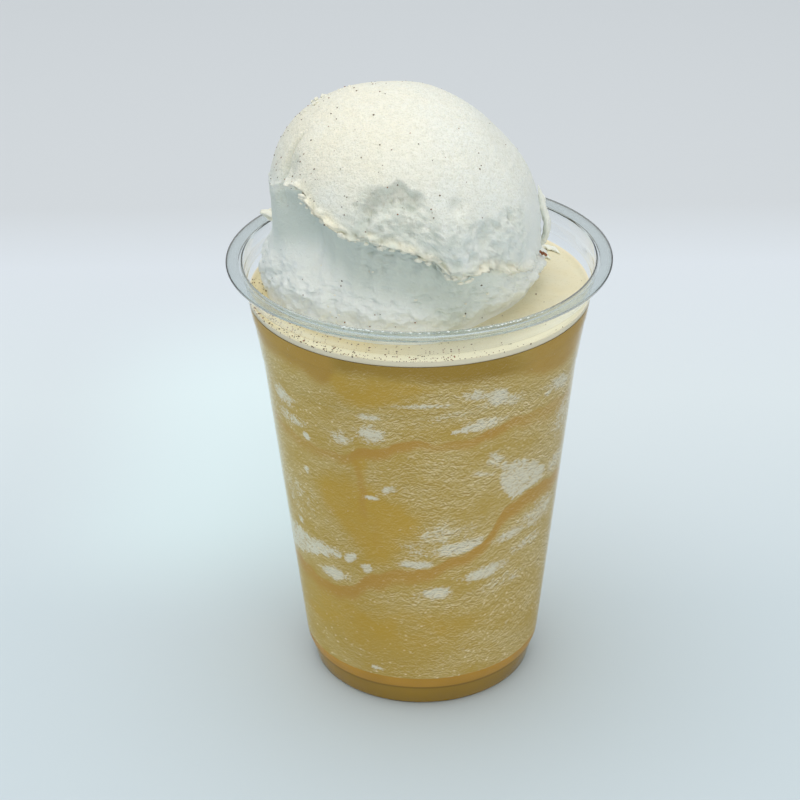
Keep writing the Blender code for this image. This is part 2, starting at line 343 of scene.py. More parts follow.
class Wire:
    """An output socket that stands in Python sums, where each operator adds a Math node."""

    def __init__(self, graph: "Graph", socket: bpy.types.NodeSocket) -> None:
        """Keep the socket and the graph that new nodes go into."""
        self.graph = graph
        self.socket = socket

    def math(self, operation: str, first: Term, second: Term = 0.0) -> "Wire":
        """Add a Math node for an operation on two terms."""
        return self.graph.add("ShaderNodeMath", {"operation": operation}, {0: first, 1: second})

    def __add__(self, other: Term) -> "Wire":
        """Add a term to this one."""
        return self.math("ADD", self, other)

    def __sub__(self, other: Term) -> "Wire":
        """Take a term from this one."""
        return self.math("SUBTRACT", self, other)

    def __rsub__(self, other: Term) -> "Wire":
        """Take this term from another."""
        return self.math("SUBTRACT", other, self)

    def __mul__(self, other: Term) -> "Wire":
        """Multiply this term by another."""
        return self.math("MULTIPLY", self, other)

    def __truediv__(self, other: Term) -> "Wire":
        """Divide this term by another."""
        return self.math("DIVIDE", self, other)

    def __rtruediv__(self, other: Term) -> "Wire":
        """Divide another term by this one."""
        return self.math("DIVIDE", other, self)

    __radd__ = __add__
    __rmul__ = __mul__

    def at_most(self, other: Term) -> "Wire":
        """Give the smaller of this term and another."""
        return self.math("MINIMUM", self, other)

    def at_least(self, other: Term) -> "Wire":
        """Give the larger of this term and another."""
        return self.math("MAXIMUM", self, other)

    def between(self, low: float, high: float) -> "Wire":
        """Ease this term from 0 at low to 1 at high."""
        return self.graph.add("ShaderNodeMapRange", {"interpolation_type": "SMOOTHSTEP"},
                              {0: self, 1: low, 2: high, 3: 0.0, 4: 1.0})

    def within(self, low: float, full: float, fade: float, end: float) -> "Wire":
        """Ease this term up from low to full, and down again from fade to end."""
        return self.between(low, full) * (1.0 - self.between(fade, end))


class Graph:
    """The node tree of a material or a world, as a place to write shader sums in."""

    MIX_COLOURS = (0, 6, 7, 2)

    def __init__(self, owner: Union[bpy.types.Material, bpy.types.World]) -> None:
        """Start an empty node tree.

        Args:
            owner: The material or the world that the tree is for.
        """
        owner.use_nodes = True
        self.owner = owner
        self.nodes = owner.node_tree.nodes
        self.links = owner.node_tree.links
        self.nodes.clear()

    def add(self, kind: str, settings: Optional[dict] = None, values: Optional[dict] = None,
            output: Union[int, str] = 0) -> Wire:
        """Add a node.

        Args:
            kind: The node's type.
            settings: Properties that are set first. The stops of a ramp are pairs of place and colour.
            values: What goes into its input sockets, by name or number: a value or a Wire.
            output: The output socket that is wanted, by name or number.

        Returns:
            The wanted output. A node without outputs gives an empty Wire.
        """
        node = self.nodes.new(kind)
        for name, value in (settings or {}).items():
            if name == "stops":
                self.set_stops(node.color_ramp, value)
            else:
                setattr(node, name, value)
        for key, value in (values or {}).items():
            if isinstance(value, Wire):
                self.links.new(value.socket, node.inputs[key])
            else:
                node.inputs[key].default_value = value
        return Wire(self, node.outputs[output] if node.outputs else None)

    def set_stops(self, ramp: bpy.types.ColorRamp, stops: Sequence[tuple[float, Colour]]) -> None:
        """Set the stops of a colour ramp.

        Args:
            ramp: The ramp of a Color Ramp node.
            stops: Pairs of place and colour, in order.
        """
        while len(ramp.elements) < len(stops):
            ramp.elements.new(1.0)
        for element, (place, colour) in zip(ramp.elements, stops):
            element.position = place
            element.color = colour

    def mix(self, share: Term, low: Union[Colour, Wire], high: Union[Colour, Wire],
            way: str = "MIX") -> Wire:
        """Mix two colours.

        Args:
            share: How much of the second colour shows, 0 to 1.
            low: The first colour.
            high: The second colour.
            way: The blend type.

        Returns:
            The mixed colour.
        """
        factor, first, second, result = self.MIX_COLOURS
        settings = {"data_type": "RGBA", "blend_type": way, "clamp_factor": True}
        return self.add("ShaderNodeMix", settings, {factor: share, first: low, second: high}, result)

    def place(self) -> Wire:
        """Give the place on the piece, in metres."""
        return self.add("ShaderNodeTexCoord", output="Object")

    def parts(self, vector: Wire) -> tuple[Wire, Wire, Wire]:
        """Split a vector.

        Args:
            vector: The vector.

        Returns:
            Its three parts.
        """
        first = self.add("ShaderNodeSeparateXYZ", {}, {0: vector})
        outputs = first.socket.node.outputs
        return first, Wire(self, outputs[1]), Wire(self, outputs[2])

    def join(self, x: Term, y: Term, z: Term) -> Wire:
        """Join three parts into a vector."""
        return self.add("ShaderNodeCombineXYZ", {}, {0: x, 1: y, 2: z})

    def noted(self, name: str) -> Wire:
        """Read a value that the mesh keeps for each point."""
        return self.add("ShaderNodeAttribute", {"attribute_type": "GEOMETRY", "attribute_name": name},
                        output="Fac")

    def grain(self, vector: Wire, size: float, detail: float = 2.0, roughness: float = 0.5,
              warp: float = 0.0) -> Wire:
        """Add a noise texture.

        Args:
            vector: Where it is read, in metres.
            size: The size of its lumps, in millimetres.
            detail: How many finer layers it has.
            roughness: How strong the finer layers are.
            warp: How far it is distorted.

        Returns:
            The noise, 0 to 1.
        """
        return self.add("ShaderNodeTexNoise", {}, {
            "Vector": vector, "Scale": 1.0 / (size * MM), "Detail": detail, "Roughness": roughness,
            "Distortion": warp})

    def cells(self, vector: Wire, size: float, output: str = "Distance") -> Wire:
        """Add a Voronoi texture whose cells have a size in millimetres."""
        return self.add("ShaderNodeTexVoronoi", {}, {"Vector": vector, "Scale": 1.0 / (size * MM)}, output)

    def relief(self, height: Wire, depth: float, strength: float) -> Wire:
        """Add a Bump node for relief of a depth in millimetres."""
        return self.add("ShaderNodeBump", {}, {
            "Height": height, "Strength": strength, "Distance": depth * MM})

    def shader(self, values: dict) -> Wire:
        """Add a Principled shader with the given socket values."""
        return self.add("ShaderNodeBsdfPrincipled", {}, values)

    def finish(self, surface: Wire, output: str = "ShaderNodeOutputMaterial") -> bpy.types.ID:
        """Connect the surface to the output node, and give the finished material or world."""
        self.add(output, {}, {"Surface": surface})
        return self.owner


# Finishes


@dataclass(frozen=True)
class ClearPlastic:
    """The clear plastic of the cup, which bends what is seen through it and lets all light through."""

    name: str
    bend: float
    tint: Colour = (0.955, 0.97, 0.97, 1.0)
    neck_tint: Colour = (0.94, 0.955, 0.96, 1.0)
    lip_tint: Colour = (0.85, 0.885, 0.882, 1.0)
    neck: tuple[float, float] = (NECK_HEIGHT, 110.4)
    lip: tuple[float, float] = (117.0, 117.5)
    roughness: float = 0.02

    def make(self) -> bpy.types.Material:
        """Make the material, where shadow and diffuse rays pass straight through the wall.

        Returns:
            The material.
        """
        graph = Graph(bpy.data.materials.new(self.name))
        _, _, z = graph.parts(graph.place())
        neck, lip = (z.between(low * MM, high * MM) for low, high in (self.neck, self.lip))
        tint = graph.mix(lip, graph.mix(neck, self.tint, self.neck_tint), self.lip_tint)
        glass = graph.shader({
            "Base Color": tint, "Roughness": self.roughness, "IOR": self.bend, "Transmission Weight": 1.0})
        open_air = graph.add("ShaderNodeBsdfTransparent", {}, {"Color": (1.0, 1.0, 1.0, 1.0)})
        shadow = graph.add("ShaderNodeLightPath", output="Is Shadow Ray")
        bounce = graph.add("ShaderNodeLightPath", output="Is Diffuse Ray")
        inner = graph.add("ShaderNodeMixShader", {}, {0: bounce, 1: glass, 2: open_air})
        return graph.finish(graph.add("ShaderNodeMixShader", {}, {0: shadow, 1: inner, 2: open_air}))


@dataclass(frozen=True)
class SlushFinish:
    """The icy slush pressed against the plastic: crumbly ice grain, amber ribbons and white patches, with
    painted highlights on its strokes, painted shade in the grooves under them and painted light on its left
    flank.
    """

    icy: Colour = paint(200, 176, 112)
    deep: Colour = paint(192, 162, 84)
    amber: Colour = paint(198, 161, 70)
    ribbon: Colour = paint(192, 151, 76)
    shade: Colour = paint(166, 135, 62)
    white: Colour = paint(228, 224, 207)
    # A painted highlight on the strokes' upper sides, and also the colour of the pale ice flecks.
    painted_highlight_and_fleck: Colour = paint(248, 234, 198)
    # Painted shade in the grooves under the strokes.
    painted_groove_shade: Colour = paint(132, 102, 50)
    # Painted light: the left flank is multiplied by this, to be lighter.
    lit: Colour = (1.17, 1.19, 1.19, 1.0)
    stroke_size: float = 1.1
    broad_size: float = 8.0
    middle_size: float = 2.6
    small_size: float = 0.5
    cell_size: float = 1.3
    pull: float = 0.6
    # How far up the grain is read again; the difference gives the painted highlights and painted shade, as
    # if lit from above.
    lift: float = 0.28

    def make(self) -> bpy.types.Material:
        """Make the material from the fields that the slush's mesh keeps.

        Returns:
            The material.
        """
        graph = Graph(bpy.data.materials.new("icy_slush"))
        x, y, z = graph.parts(graph.place())
        level = z - graph.noted("flow")
        across, along = x * self.pull, y * self.pull
        run = graph.join(across, along, level)
        above = graph.join(across, along, level + self.lift * MM)
        strokes = graph.grain(run, self.stroke_size, 5.0, 0.72, 1.2)
        # Painted relief light: the grain's rise upwards, lit above and shaded below.
        painted_relief_light = strokes - graph.grain(above, self.stroke_size, 5.0, 0.72, 1.2)
        broad = graph.grain(run, self.broad_size, 4.0, 0.6)
        middle = graph.grain(graph.join(x * 0.55, y * 0.55, level), self.middle_size, 4.0, 0.7)
        small = graph.grain(graph.join(x * 0.8, y * 0.8, level), self.small_size, 3.0, 0.6)
        grain = graph.noted("grain")
        icy = graph.noted("icy") + (broad - 0.5) * 2.2 + (middle - 0.5) * 0.9
        colour = graph.mix(icy.between(0.0, 1.0), self.deep, self.icy)
        calm = graph.noted("calm") + (middle - 0.5) * 0.4
        colour = graph.mix(calm.between(0.0, 1.2) * 0.85, colour, self.amber)
        amber = graph.noted("amber") + (small - 0.5) * 0.4 + (middle - 0.5) * 0.3
        colour = graph.mix(amber.between(0.1, 0.95), colour, self.ribbon)
        dark = graph.noted("shade") + (middle - 0.5) * 0.3
        colour = graph.mix(dark.between(0.05, 1.0), colour, self.shade)
        frost = graph.noted("white") + (middle - 0.5) * 1.2
        frost = frost + (strokes - 0.5) * 2.2 + (small - 0.5) * 1.4
        colour = graph.mix(frost.between(0.3, 1.15) * 0.92, colour, self.white)
        rough = grain * ((broad - 0.5) * 3.0 + 0.75).at_least(0.2).at_most(1.0)
        # Painted highlights on the strokes and painted shade in the grooves below them.
        colour = graph.mix(painted_relief_light.between(0.0, 0.11) * rough * 0.8, colour, self.painted_highlight_and_fleck)
        colour = graph.mix((0.0 - painted_relief_light).between(0.01, 0.12) * rough * 0.6, colour, self.painted_groove_shade)
        cells = graph.cells(graph.join(x * 0.7, y * 0.7, level), self.cell_size)
        fleck = (1.0 - cells.between(0.06, 0.3)) * graph.noted("fleck") * middle.between(0.44, 0.56)
        # The flecks are pale ice, in the same colour as the painted highlights.
        colour = graph.mix(fleck * 0.8, colour, self.painted_highlight_and_fleck)
        # Painted light on the left flank.
        colour = graph.mix(graph.noted("lit"), colour, self.lit, "MULTIPLY")
        normal = graph.relief(strokes * grain + small * 0.2, 0.35, 0.7)
        return graph.finish(graph.shader({
            "Base Color": colour, "Roughness": 0.6, "Normal": normal, "Specular IOR Level": 0.1}))


@dataclass(frozen=True)
class SettledFinish:
    """The clear liquid in the foot: an orange band of painted light, refracted through the shoulder, over
    an olive-brown one of painted shade, with a painted dark line between them and painted light on the
    left.
    """

    # Painted light: the orange of light refracted through the shoulder.
    band: Colour = paint(198, 150, 60)
    # Painted shade: the olive-brown of the foot, seen in shadow.
    foot: Colour = paint(170, 134, 50)
    # Painted shade: a dark line where the foot steps in.
    shade_line: Colour = paint(120, 94, 40)
    # Painted light: the left side is multiplied by this, to be lighter.
    lit: Colour = (1.16, 1.12, 1.05, 1.0)
    seam_height: float = 6.2
    seam_soft: float = 0.3
    seam_reach: tuple[float, float] = (0.7, 0.6)
    seam_drift: float = 0.8
    lit_from: float = 8.0
    lit_to: float = 26.0

    def make(self) -> bpy.types.Material:
        """Make the material, which changes colour by height.

        Returns:
            The material.
        """
        graph = Graph(bpy.data.materials.new("settled_liquid"))
        x, y, z = graph.parts(graph.place())
        drift = graph.grain(graph.join(x * 0.4, y * 0.4, z), 8.0)
        height = z + (drift - 0.5) * (self.seam_drift * MM)
        shade_line, soft = self.seam_height * MM, self.seam_soft * MM
        below, above = (reach * MM for reach in self.seam_reach)
        # The band is painted light and the foot below it painted shade, with a painted dark line at the
        # step; the drift mixes the dark colour in at random as well.
        colour = graph.mix(height.between(shade_line - soft, shade_line + soft), self.foot, self.band)
        near = height.within(shade_line - below, shade_line, shade_line, shade_line + above)
        colour = graph.mix(near * 0.7, colour, self.shade_line)
        colour = graph.mix(drift.between(0.35, 0.75) * 0.25, colour, self.shade_line)
        # Painted light on the left side.
        left = (0.0 - x).between(self.lit_from * MM, self.lit_to * MM)
        colour = graph.mix(left, colour, self.lit, "MULTIPLY")
        return graph.finish(graph.shader({
            "Base Color": colour, "Roughness": 0.25, "Specular IOR Level": 0.3}))


@dataclass(frozen=True)
class FrothFinish:
    """The pale froth: cream coloured, with fine bubbles, painted shade in their pores, a whiter edge along
    the wall and painted light on its front near the wall.
    """

    pale: Colour = paint(229, 224, 199)
    yellow: Colour = paint(234, 216, 164)
    edge: Colour = paint(238, 228, 202)
    # Painted light: the froth's front near the wall is mixed towards this.
    painted_front_light: Colour = paint(255, 250, 224)
    # Painted shade in the pores between the bubbles.
    pore: Colour = paint(200, 188, 146)
    soft_size: float = 6.0
    fine_size: float = 0.7
    pore_size: float = 0.9

    def make(self) -> bpy.types.Material:
        """Make the material from the fields that the froth's mesh keeps.

        Returns:
            The material.
        """
        graph = Graph(bpy.data.materials.new("pale_froth"))
        place = graph.place()
        soft = graph.grain(place, self.soft_size, 3.0, 0.6)
        fine = graph.grain(place, self.fine_size, 2.0, 0.6)
        colour = graph.mix(graph.noted("yellow") + (soft - 0.5) * 0.6, self.pale, self.yellow)
        # Painted shade in small pores of the froth.
        pores = 1.0 - graph.cells(place, self.pore_size).between(0.1, 0.35)
        colour = graph.mix(pores * 0.3, colour, self.pore)
        # Painted light on the froth's front near the wall.
        colour = graph.mix(graph.noted("front") * 0.75, colour, self.painted_front_light)
        colour = graph.mix(graph.noted("edge"), colour, self.edge)
        normal = graph.relief(fine * 0.5 + soft, 0.25, 0.35)
        return graph.finish(graph.shader({
            "Base Color": colour, "Roughness": 0.5, "Normal": normal, "Specular IOR Level": 0.35}))


@dataclass(frozen=True)
class CreamFinish:
    """Whipped cream: white, warmer towards the top and most at the upper left, with a fine dry grain."""

    cool: Colour = paint(246, 252, 249)
    warm: Colour = paint(247, 245, 230)
    dull: Colour = paint(206, 208, 194)
    yolk: Colour = paint(255, 250, 226)
    shade: Colour = paint(211, 221, 214)
    soft_size: float = 9.0
    fine_size: float = 1.3
    mottle_size: float = 1.6
    dust_size: float = 0.45
    mottle_share: float = 0.2
    dust_share: float = 0.42

    def make(self) -> bpy.types.Material:
        """Make the material from the fields that the cream's mesh keeps.

        Returns:
            The material.
        """
        graph = Graph(bpy.data.materials.new("soft_cream"))
        place = graph.place()
        soft = graph.grain(place, self.soft_size, 3.0, 0.6)
        fine = graph.grain(place, self.fine_size, 4.0, 0.7)
        mottle = graph.grain(place, self.mottle_size, 3.0, 0.75)
        dust = graph.grain(place, self.dust_size, 2.0, 0.6)
        colour = graph.mix(graph.noted("warm") + (soft - 0.5) * 0.9, self.cool, self.warm)
        colour = graph.mix(graph.noted("lip") * 0.8, colour, self.yolk)
        colour = graph.mix(graph.noted("shade"), colour, self.shade)
        for layer, end, share in ((mottle, 0.16, self.mottle_share), (dust, 0.2, self.dust_share)):
            dull = (0.52 - layer).between(0.0, end) * graph.noted("dry")
            colour = graph.mix(dull * share, colour, self.dull)
        normal = graph.relief(fine + dust * 0.5 + mottle * 0.4, 0.55, 0.8)
        return graph.finish(graph.shader({
            "Base Color": colour, "Roughness": 0.5, "Normal": normal, "Specular IOR Level": 0.3,
            "Subsurface Weight": 0.15, "Subsurface Scale": 0.002, "Subsurface Radius": (1.0, 0.9, 0.75)}))


@dataclass(frozen=True)
class SpiceFinish:
    """Ground spice: dark brown grains, some of them reddish."""

    dark: Colour = paint(92, 80, 62)
    red: Colour = paint(150, 96, 66)

    def make(self) -> bpy.types.Material:
        """Make the material, whose colour differs from grain to grain.

        Returns:
            The material.
        """
        graph = Graph(bpy.data.materials.new("spice"))
        colour = graph.mix(graph.noted("tone"), self.dark, self.red)
        return graph.finish(graph.shader({"Base Color": colour, "Roughness": 0.8}))


@dataclass(frozen=True)
class BeadFinish:
    """Small drops painted near white, as painted highlights where they catch the light."""

    # Painted highlight: the drops are near white so that they show as glints.
    tint: Colour = paint(244, 250, 250)
    shade: Colour = paint(226, 234, 236)

    def make(self) -> bpy.types.Material:
        """Make the material.

        Returns:
            The material.
        """
        graph = Graph(bpy.data.materials.new("beads"))
        soft = graph.grain(graph.place(), 0.8)
        colour = graph.mix(soft, self.tint, self.shade)
        return graph.finish(graph.shader({"Base Color": colour, "Roughness": 0.12, "IOR": 1.4}))


@dataclass(frozen=True)
class FloorFinish:
    """The pale sweep that the cup stands on, painted brighter behind the cup than before it, with a painted
    pool of light just behind the cup.
    """

    near: Colour = paint(206, 220, 231)
    middle: Colour = paint(220, 231, 240)
    far: Colour = paint(222, 230, 241)
    back: Colour = paint(212, 218, 226)
    # Painted light: a pool of light on the floor just behind the cup is multiplied by this.
    painted_light_pool: Colour = (1.1, 1.16, 1.14, 1.0)
    stretch: tuple[float, float] = (-0.10, 0.60)
    light_pool_across: tuple[float, float, float, float] = (-0.13, -0.06, -0.03, 0.02)
    light_pool_behind: tuple[float, float, float, float] = (0.0, 0.07, 0.15, 0.24)

    def make(self) -> bpy.types.Material:
        """Make the material, whose painted light changes slowly with the distance behind the cup.

        Returns:
            The material.
        """
        graph = Graph(bpy.data.materials.new("floor"))
        x, y, _ = graph.parts(graph.place())
        low, high = self.stretch
        share = (y - low) / (high - low)
        # The steps from near to back are painted light, brighter a little behind the cup.
        stops = [(0.0, self.near), (0.17, self.near), (0.35, self.middle), (0.5, self.far),
                 (0.58, self.back), (1.0, self.back)]
        colour = graph.add("ShaderNodeValToRGB", {"stops": stops}, {0: share})
        # A painted pool of light on the floor just behind the cup.
        spot = x.within(*self.light_pool_across) * y.within(*self.light_pool_behind)
        colour = graph.mix(spot, colour, self.painted_light_pool, "MULTIPLY")
        return graph.finish(graph.shader({
            "Base Color": colour, "Roughness": 0.7, "Specular IOR Level": 0.1}))


# The cup


@dataclass(frozen=True)
class CupOutline:
    """The middle line of the cup's thin wall, as radius and height."""

    height: float = 119.0
    rim: float = 49.0
    wall: float = 0.5
    base: float = 29.3
    foot: tuple[float, float] = (30.7, 6.2)
    shoulder: tuple[float, float] = (31.8, 10.5)
    shoulder_bulge: float = 0.3
    stack: tuple[float, float] = (40.7, 92.7)
    stack_rise: float = 10.8
    stack_step: float = 0.2
    step_height: float = 0.8
    upper_slope: float = 0.165
    lip_height: float = 1.9
    lip_turn: tuple[float, float] = (-125.0, 180.0)
    lip_pieces: int = 28
    ring: tuple[float, float] = (28.3, 27.0)
    punt: tuple[float, float] = (24.7, 2.8)
    floor_rise: float = 0.5
    neck_rings: tuple[float, float] = (115.2, 112.3)
    ring_depth: float = 0.08
    ring_half: float = 0.35

    def wall_radius(self, height: float) -> float:
        """Give the outer radius of the plain wall at a height.

        Args:
            height: The height above the table.

        Returns:
            The radius, which steps out at the two stacking rings.
        """
        stack_radius, stack_height = self.stack
        if height <= stack_height:
            slope = (stack_radius - self.shoulder[0]) / (stack_height - self.shoulder[1])
            return self.shoulder[0] + slope * (height - self.shoulder[1])
        radius = stack_radius + self.upper_slope * (height - stack_height)
        for level in (stack_height, stack_height + self.stack_rise):
            radius += self.stack_step * min(1.0, max(0.0, (height - level) / self.step_height))
        return radius

    def lip_path(self) -> Path:
        """Give the lip's middle line, from the free end of its curl over to the inside.

        Returns:
            Radii and heights.
        """
        half = self.wall / 2
        middle = self.height - self.lip_height / 2
        inner = self.wall_radius(middle) - half
        across = (self.rim - half - inner) / 2
        start, end = self.lip_turn
        angles = np.radians(np.linspace(start, end, self.lip_pieces + 1))
        up = self.lip_height / 2 - half
        return [(inner + across * (1 + math.cos(angle)), middle + up * math.sin(angle)) for angle in angles]

    def side_path(self) -> Path:
        """Give the side's middle line, from under the lip down to the foot ring.

        Returns:
            Radii and heights.
        """
        half = self.wall / 2
        level = self.stack[1]
        second = level + self.stack_rise
        step = self.step_height
        heights = [self.height - self.lip_height, second + step, second, level + step, level,
                   self.shoulder[1]]
        points = [(self.wall_radius(height) - half, height) for height in heights]
        rings = []
        for level in self.neck_rings:
            for height, depth in ((level + self.ring_half, 0.0), (level, self.ring_depth),
                                  (level - self.ring_half, 0.0)):
                rings.append((self.wall_radius(height) - half - depth, height))
        points[1:1] = rings
        bulge = (self.foot[0] + self.shoulder[0]) / 2 + self.shoulder_bulge
        points.append((bulge - half, (self.foot[1] + self.shoulder[1]) / 2))
        points.append((self.foot[0] - half, self.foot[1]))
        points.append((self.base - half, 2 * self.wall))
        return points

    def floor_path(self) -> Path:
        """Give the middle line of the foot ring and the raised floor, as far as the axis.

        Returns:
            Radii and heights.
        """
        half = self.wall / 2
        rise_to = self.punt[1] + self.floor_rise
        return [(self.ring[0], half), (self.ring[1], half), self.punt, (0.0, rise_to)]

    def offset(self, path: Path, distance: float) -> Path:
        """Move a path to its left, with mitred corners and its last end on the axis.

        Args:
            path: The radii and heights.
            distance: How far it moves.

        Returns:
            The moved path.
        """
        moved = []
        for index, point in enumerate(path):
            here = Vector(point)
            before = Vector(path[max(index - 1, 0)])
            after = Vector(path[min(index + 1, len(path) - 1)])
            first = (here - before).normalized() if index else (after - here).normalized()
            last = (after - here).normalized() if index < len(path) - 1 else first
            normal = Vector((first.y, -first.x))
            mitre = (normal + Vector((last.y, -last.x))).normalized()
            moved.append(here + mitre * (distance / max(mitre.dot(normal), 0.3)))
        moved[-1].x = 0.0
        return [(point.x, point.y) for point in moved]

    def filled(self, reach: float) -> Path:
        """Give the line that a filling has when it reaches a little way into the wall."""
        return self.offset(self.side_path() + self.floor_path(), self.wall / 2 - reach)

    def filled_radius(self, heights: np.ndarray, reach: float) -> np.ndarray:
        """Give the radius of such a filling at heights above the foot ring.

        Args:
            heights: The heights.
            reach: How far the filling reaches into the wall.

        Returns:
            The radius at each.
        """
        side = self.filled(reach)[:len(self.side_path())]
        radii = np.array([radius for radius, _ in side])[::-1]
        levels = np.array([height for _, height in side])[::-1]
        return np.interp(heights, levels, radii)


@dataclass
class ClearCup:
    """The clear cup: one thin wall from the open curl of its lip to its raised floor."""

    outline: CupOutline
    steps: int = 360
    neck_height: float = NECK_HEIGHT
    side_bend: float = 1.05
    lip_bend: float = 1.4

    def build(self) -> bpy.types.Object:
        """Make the cup, which stands for the solid cup.

        Returns:
            The piece.
        """
        middle = self.outline.lip_path() + self.outline.side_path() + self.outline.floor_path()
        half = self.outline.wall / 2
        path = self.outline.offset(middle, -half) + self.outline.offset(middle, half)[::-1]
        mesh = lathe("clear_cup", path, self.steps)
        self.close_curl(mesh)
        side = ClearPlastic("clear_plastic_side", self.side_bend).make()
        piece = place_piece("clear_cup", mesh, side)
        mesh.materials.append(ClearPlastic("clear_plastic_lip", self.lip_bend).make())
        for face in mesh.polygons:
            face.material_index = int(face.center.z > self.neck_height * MM)
        mesh.set_sharp_from_angle(angle=math.radians(50.0))
        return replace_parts(piece, "cup")

    def close_curl(self, mesh: bpy.types.Mesh) -> None:
        """Close the free end of the curl between the wall's two faces.

        Args:
            mesh: The cup's mesh.
        """
        shape = bmesh.new()
        shape.from_mesh(mesh)
        rims = [edge for edge in shape.edges if edge.is_boundary]
        if rims:
            bmesh.ops.bridge_loops(shape, edges=rims)
        bmesh.ops.recalc_face_normals(shape, faces=shape.faces)
        shape.to_mesh(mesh)
        shape.free()


@dataclass
class LipBeads:
    """Small drops that sit in the groove of the lip, most of them in short rows at the front, painted near
    white as painted highlights.
    """

    outline: CupOutline
    radius: float = 46.6
    rows: tuple = ((247.0, 255.0, 14), (256.0, 284.0, 11), (284.0, 300.0, 14), (301.0, 309.0, 4))
    size: tuple[float, float] = (0.16, 0.34)
    shares: tuple[float, float, float] = (1.3, 1.0, 0.7)
    stray: float = 0.25
    below_top: float = 0.15
    seed: int = 7

    def build(self) -> bpy.types.Object:
        """Make all the drops as one mesh.

        Returns:
            The piece.
        """
        draw = np.random.default_rng(self.seed)
        shape = bmesh.new()
        top = self.outline.height - self.below_top
        for start, end, count in self.rows:
            for place in np.linspace(start, end, count):
                azimuth = place + draw.normal(0.0, self.stray)
                spot = spot_at(azimuth, self.radius + draw.uniform(-self.stray, self.stray), top) * MM
                size = draw.uniform(*self.size) * MM
                stretch = Matrix.Diagonal((*(size * share for share in self.shares), 1.0))
                turn = Matrix.Rotation(math.radians(azimuth + 90.0), 4, "Z")
                bmesh.ops.create_icosphere(shape, subdivisions=2, radius=1.0,
                                           matrix=Matrix.Translation(spot) @ turn @ stretch)
        mesh = mesh_of(shape, "lip_beads")
        return place_piece("lip_beads", mesh, BeadFinish().make())


# The drink


@dataclass(frozen=True)
class Patch:
    """A pale patch on the side of the slush: its middle, half width, half height, slope and strength."""

    azimuth: float
    height: float
    half_width: float
    half_height: float
    slope: float = 0.0
    strength: float = 1.0

    def field(self, azimuth: np.ndarray, height: np.ndarray, radius: np.ndarray) -> np.ndarray:
        """Give how strongly the patch shows at each place.

        Args:
            azimuth: Azimuths of the places.
            height: Their heights.
            radius: Their radii.

        Returns:
            From 0 outside to the patch's strength inside.
        """
        across = np.radians(turned_from(azimuth, self.azimuth)) * radius
        up = height - self.height - self.slope * across
        distance = np.hypot(across / self.half_width, up / self.half_height)
        return self.strength * (1.0 - rise(distance, 0.2, 1.6))


@dataclass(frozen=True)
class Sheet:
    """A pale or a calm patch with straight sides, given by its corners as azimuth and height."""

    corners: tuple[tuple[float, float], ...]
    soft: float = 0.6
    strength: float = 1.0

    def field(self, azimuth: np.ndarray, height: np.ndarray, radius: np.ndarray) -> np.ndarray:
        """Give how strongly the sheet shows at each place.

        Args:
            azimuth: Azimuths of the places.
            height: Their heights.
            radius: Their radii.

        Returns:
            From 0 outside to the sheet's strength inside.
        """
        middle = sum(place for place, _ in self.corners) / len(self.corners)
        scale = math.radians(1.0) * radius
        across = turned_from(azimuth, middle) * scale
        inside = np.full(len(azimuth), 99.0)
        for first, second in zip(self.corners, self.corners[1:] + self.corners[:1]):
            start = (first[0] - middle) * scale
            step_across = (second[0] - middle) * scale - start
            step_up = second[1] - first[1]
            length = np.hypot(step_across, step_up)
            side = (step_across * (height - first[1]) - step_up * (across - start)) / length
            inside = np.minimum(inside, -side)
        return self.strength * rise(inside, -self.soft, self.soft)


def strongest(patches: Sequence[Union[Patch, Sheet]], azimuth: np.ndarray, height: np.ndarray,
              radius: np.ndarray) -> np.ndarray:
    """Give how strongly the strongest of some patches shows at each place."""
    return np.max([patch.field(azimuth, height, radius) for patch in patches], axis=0)


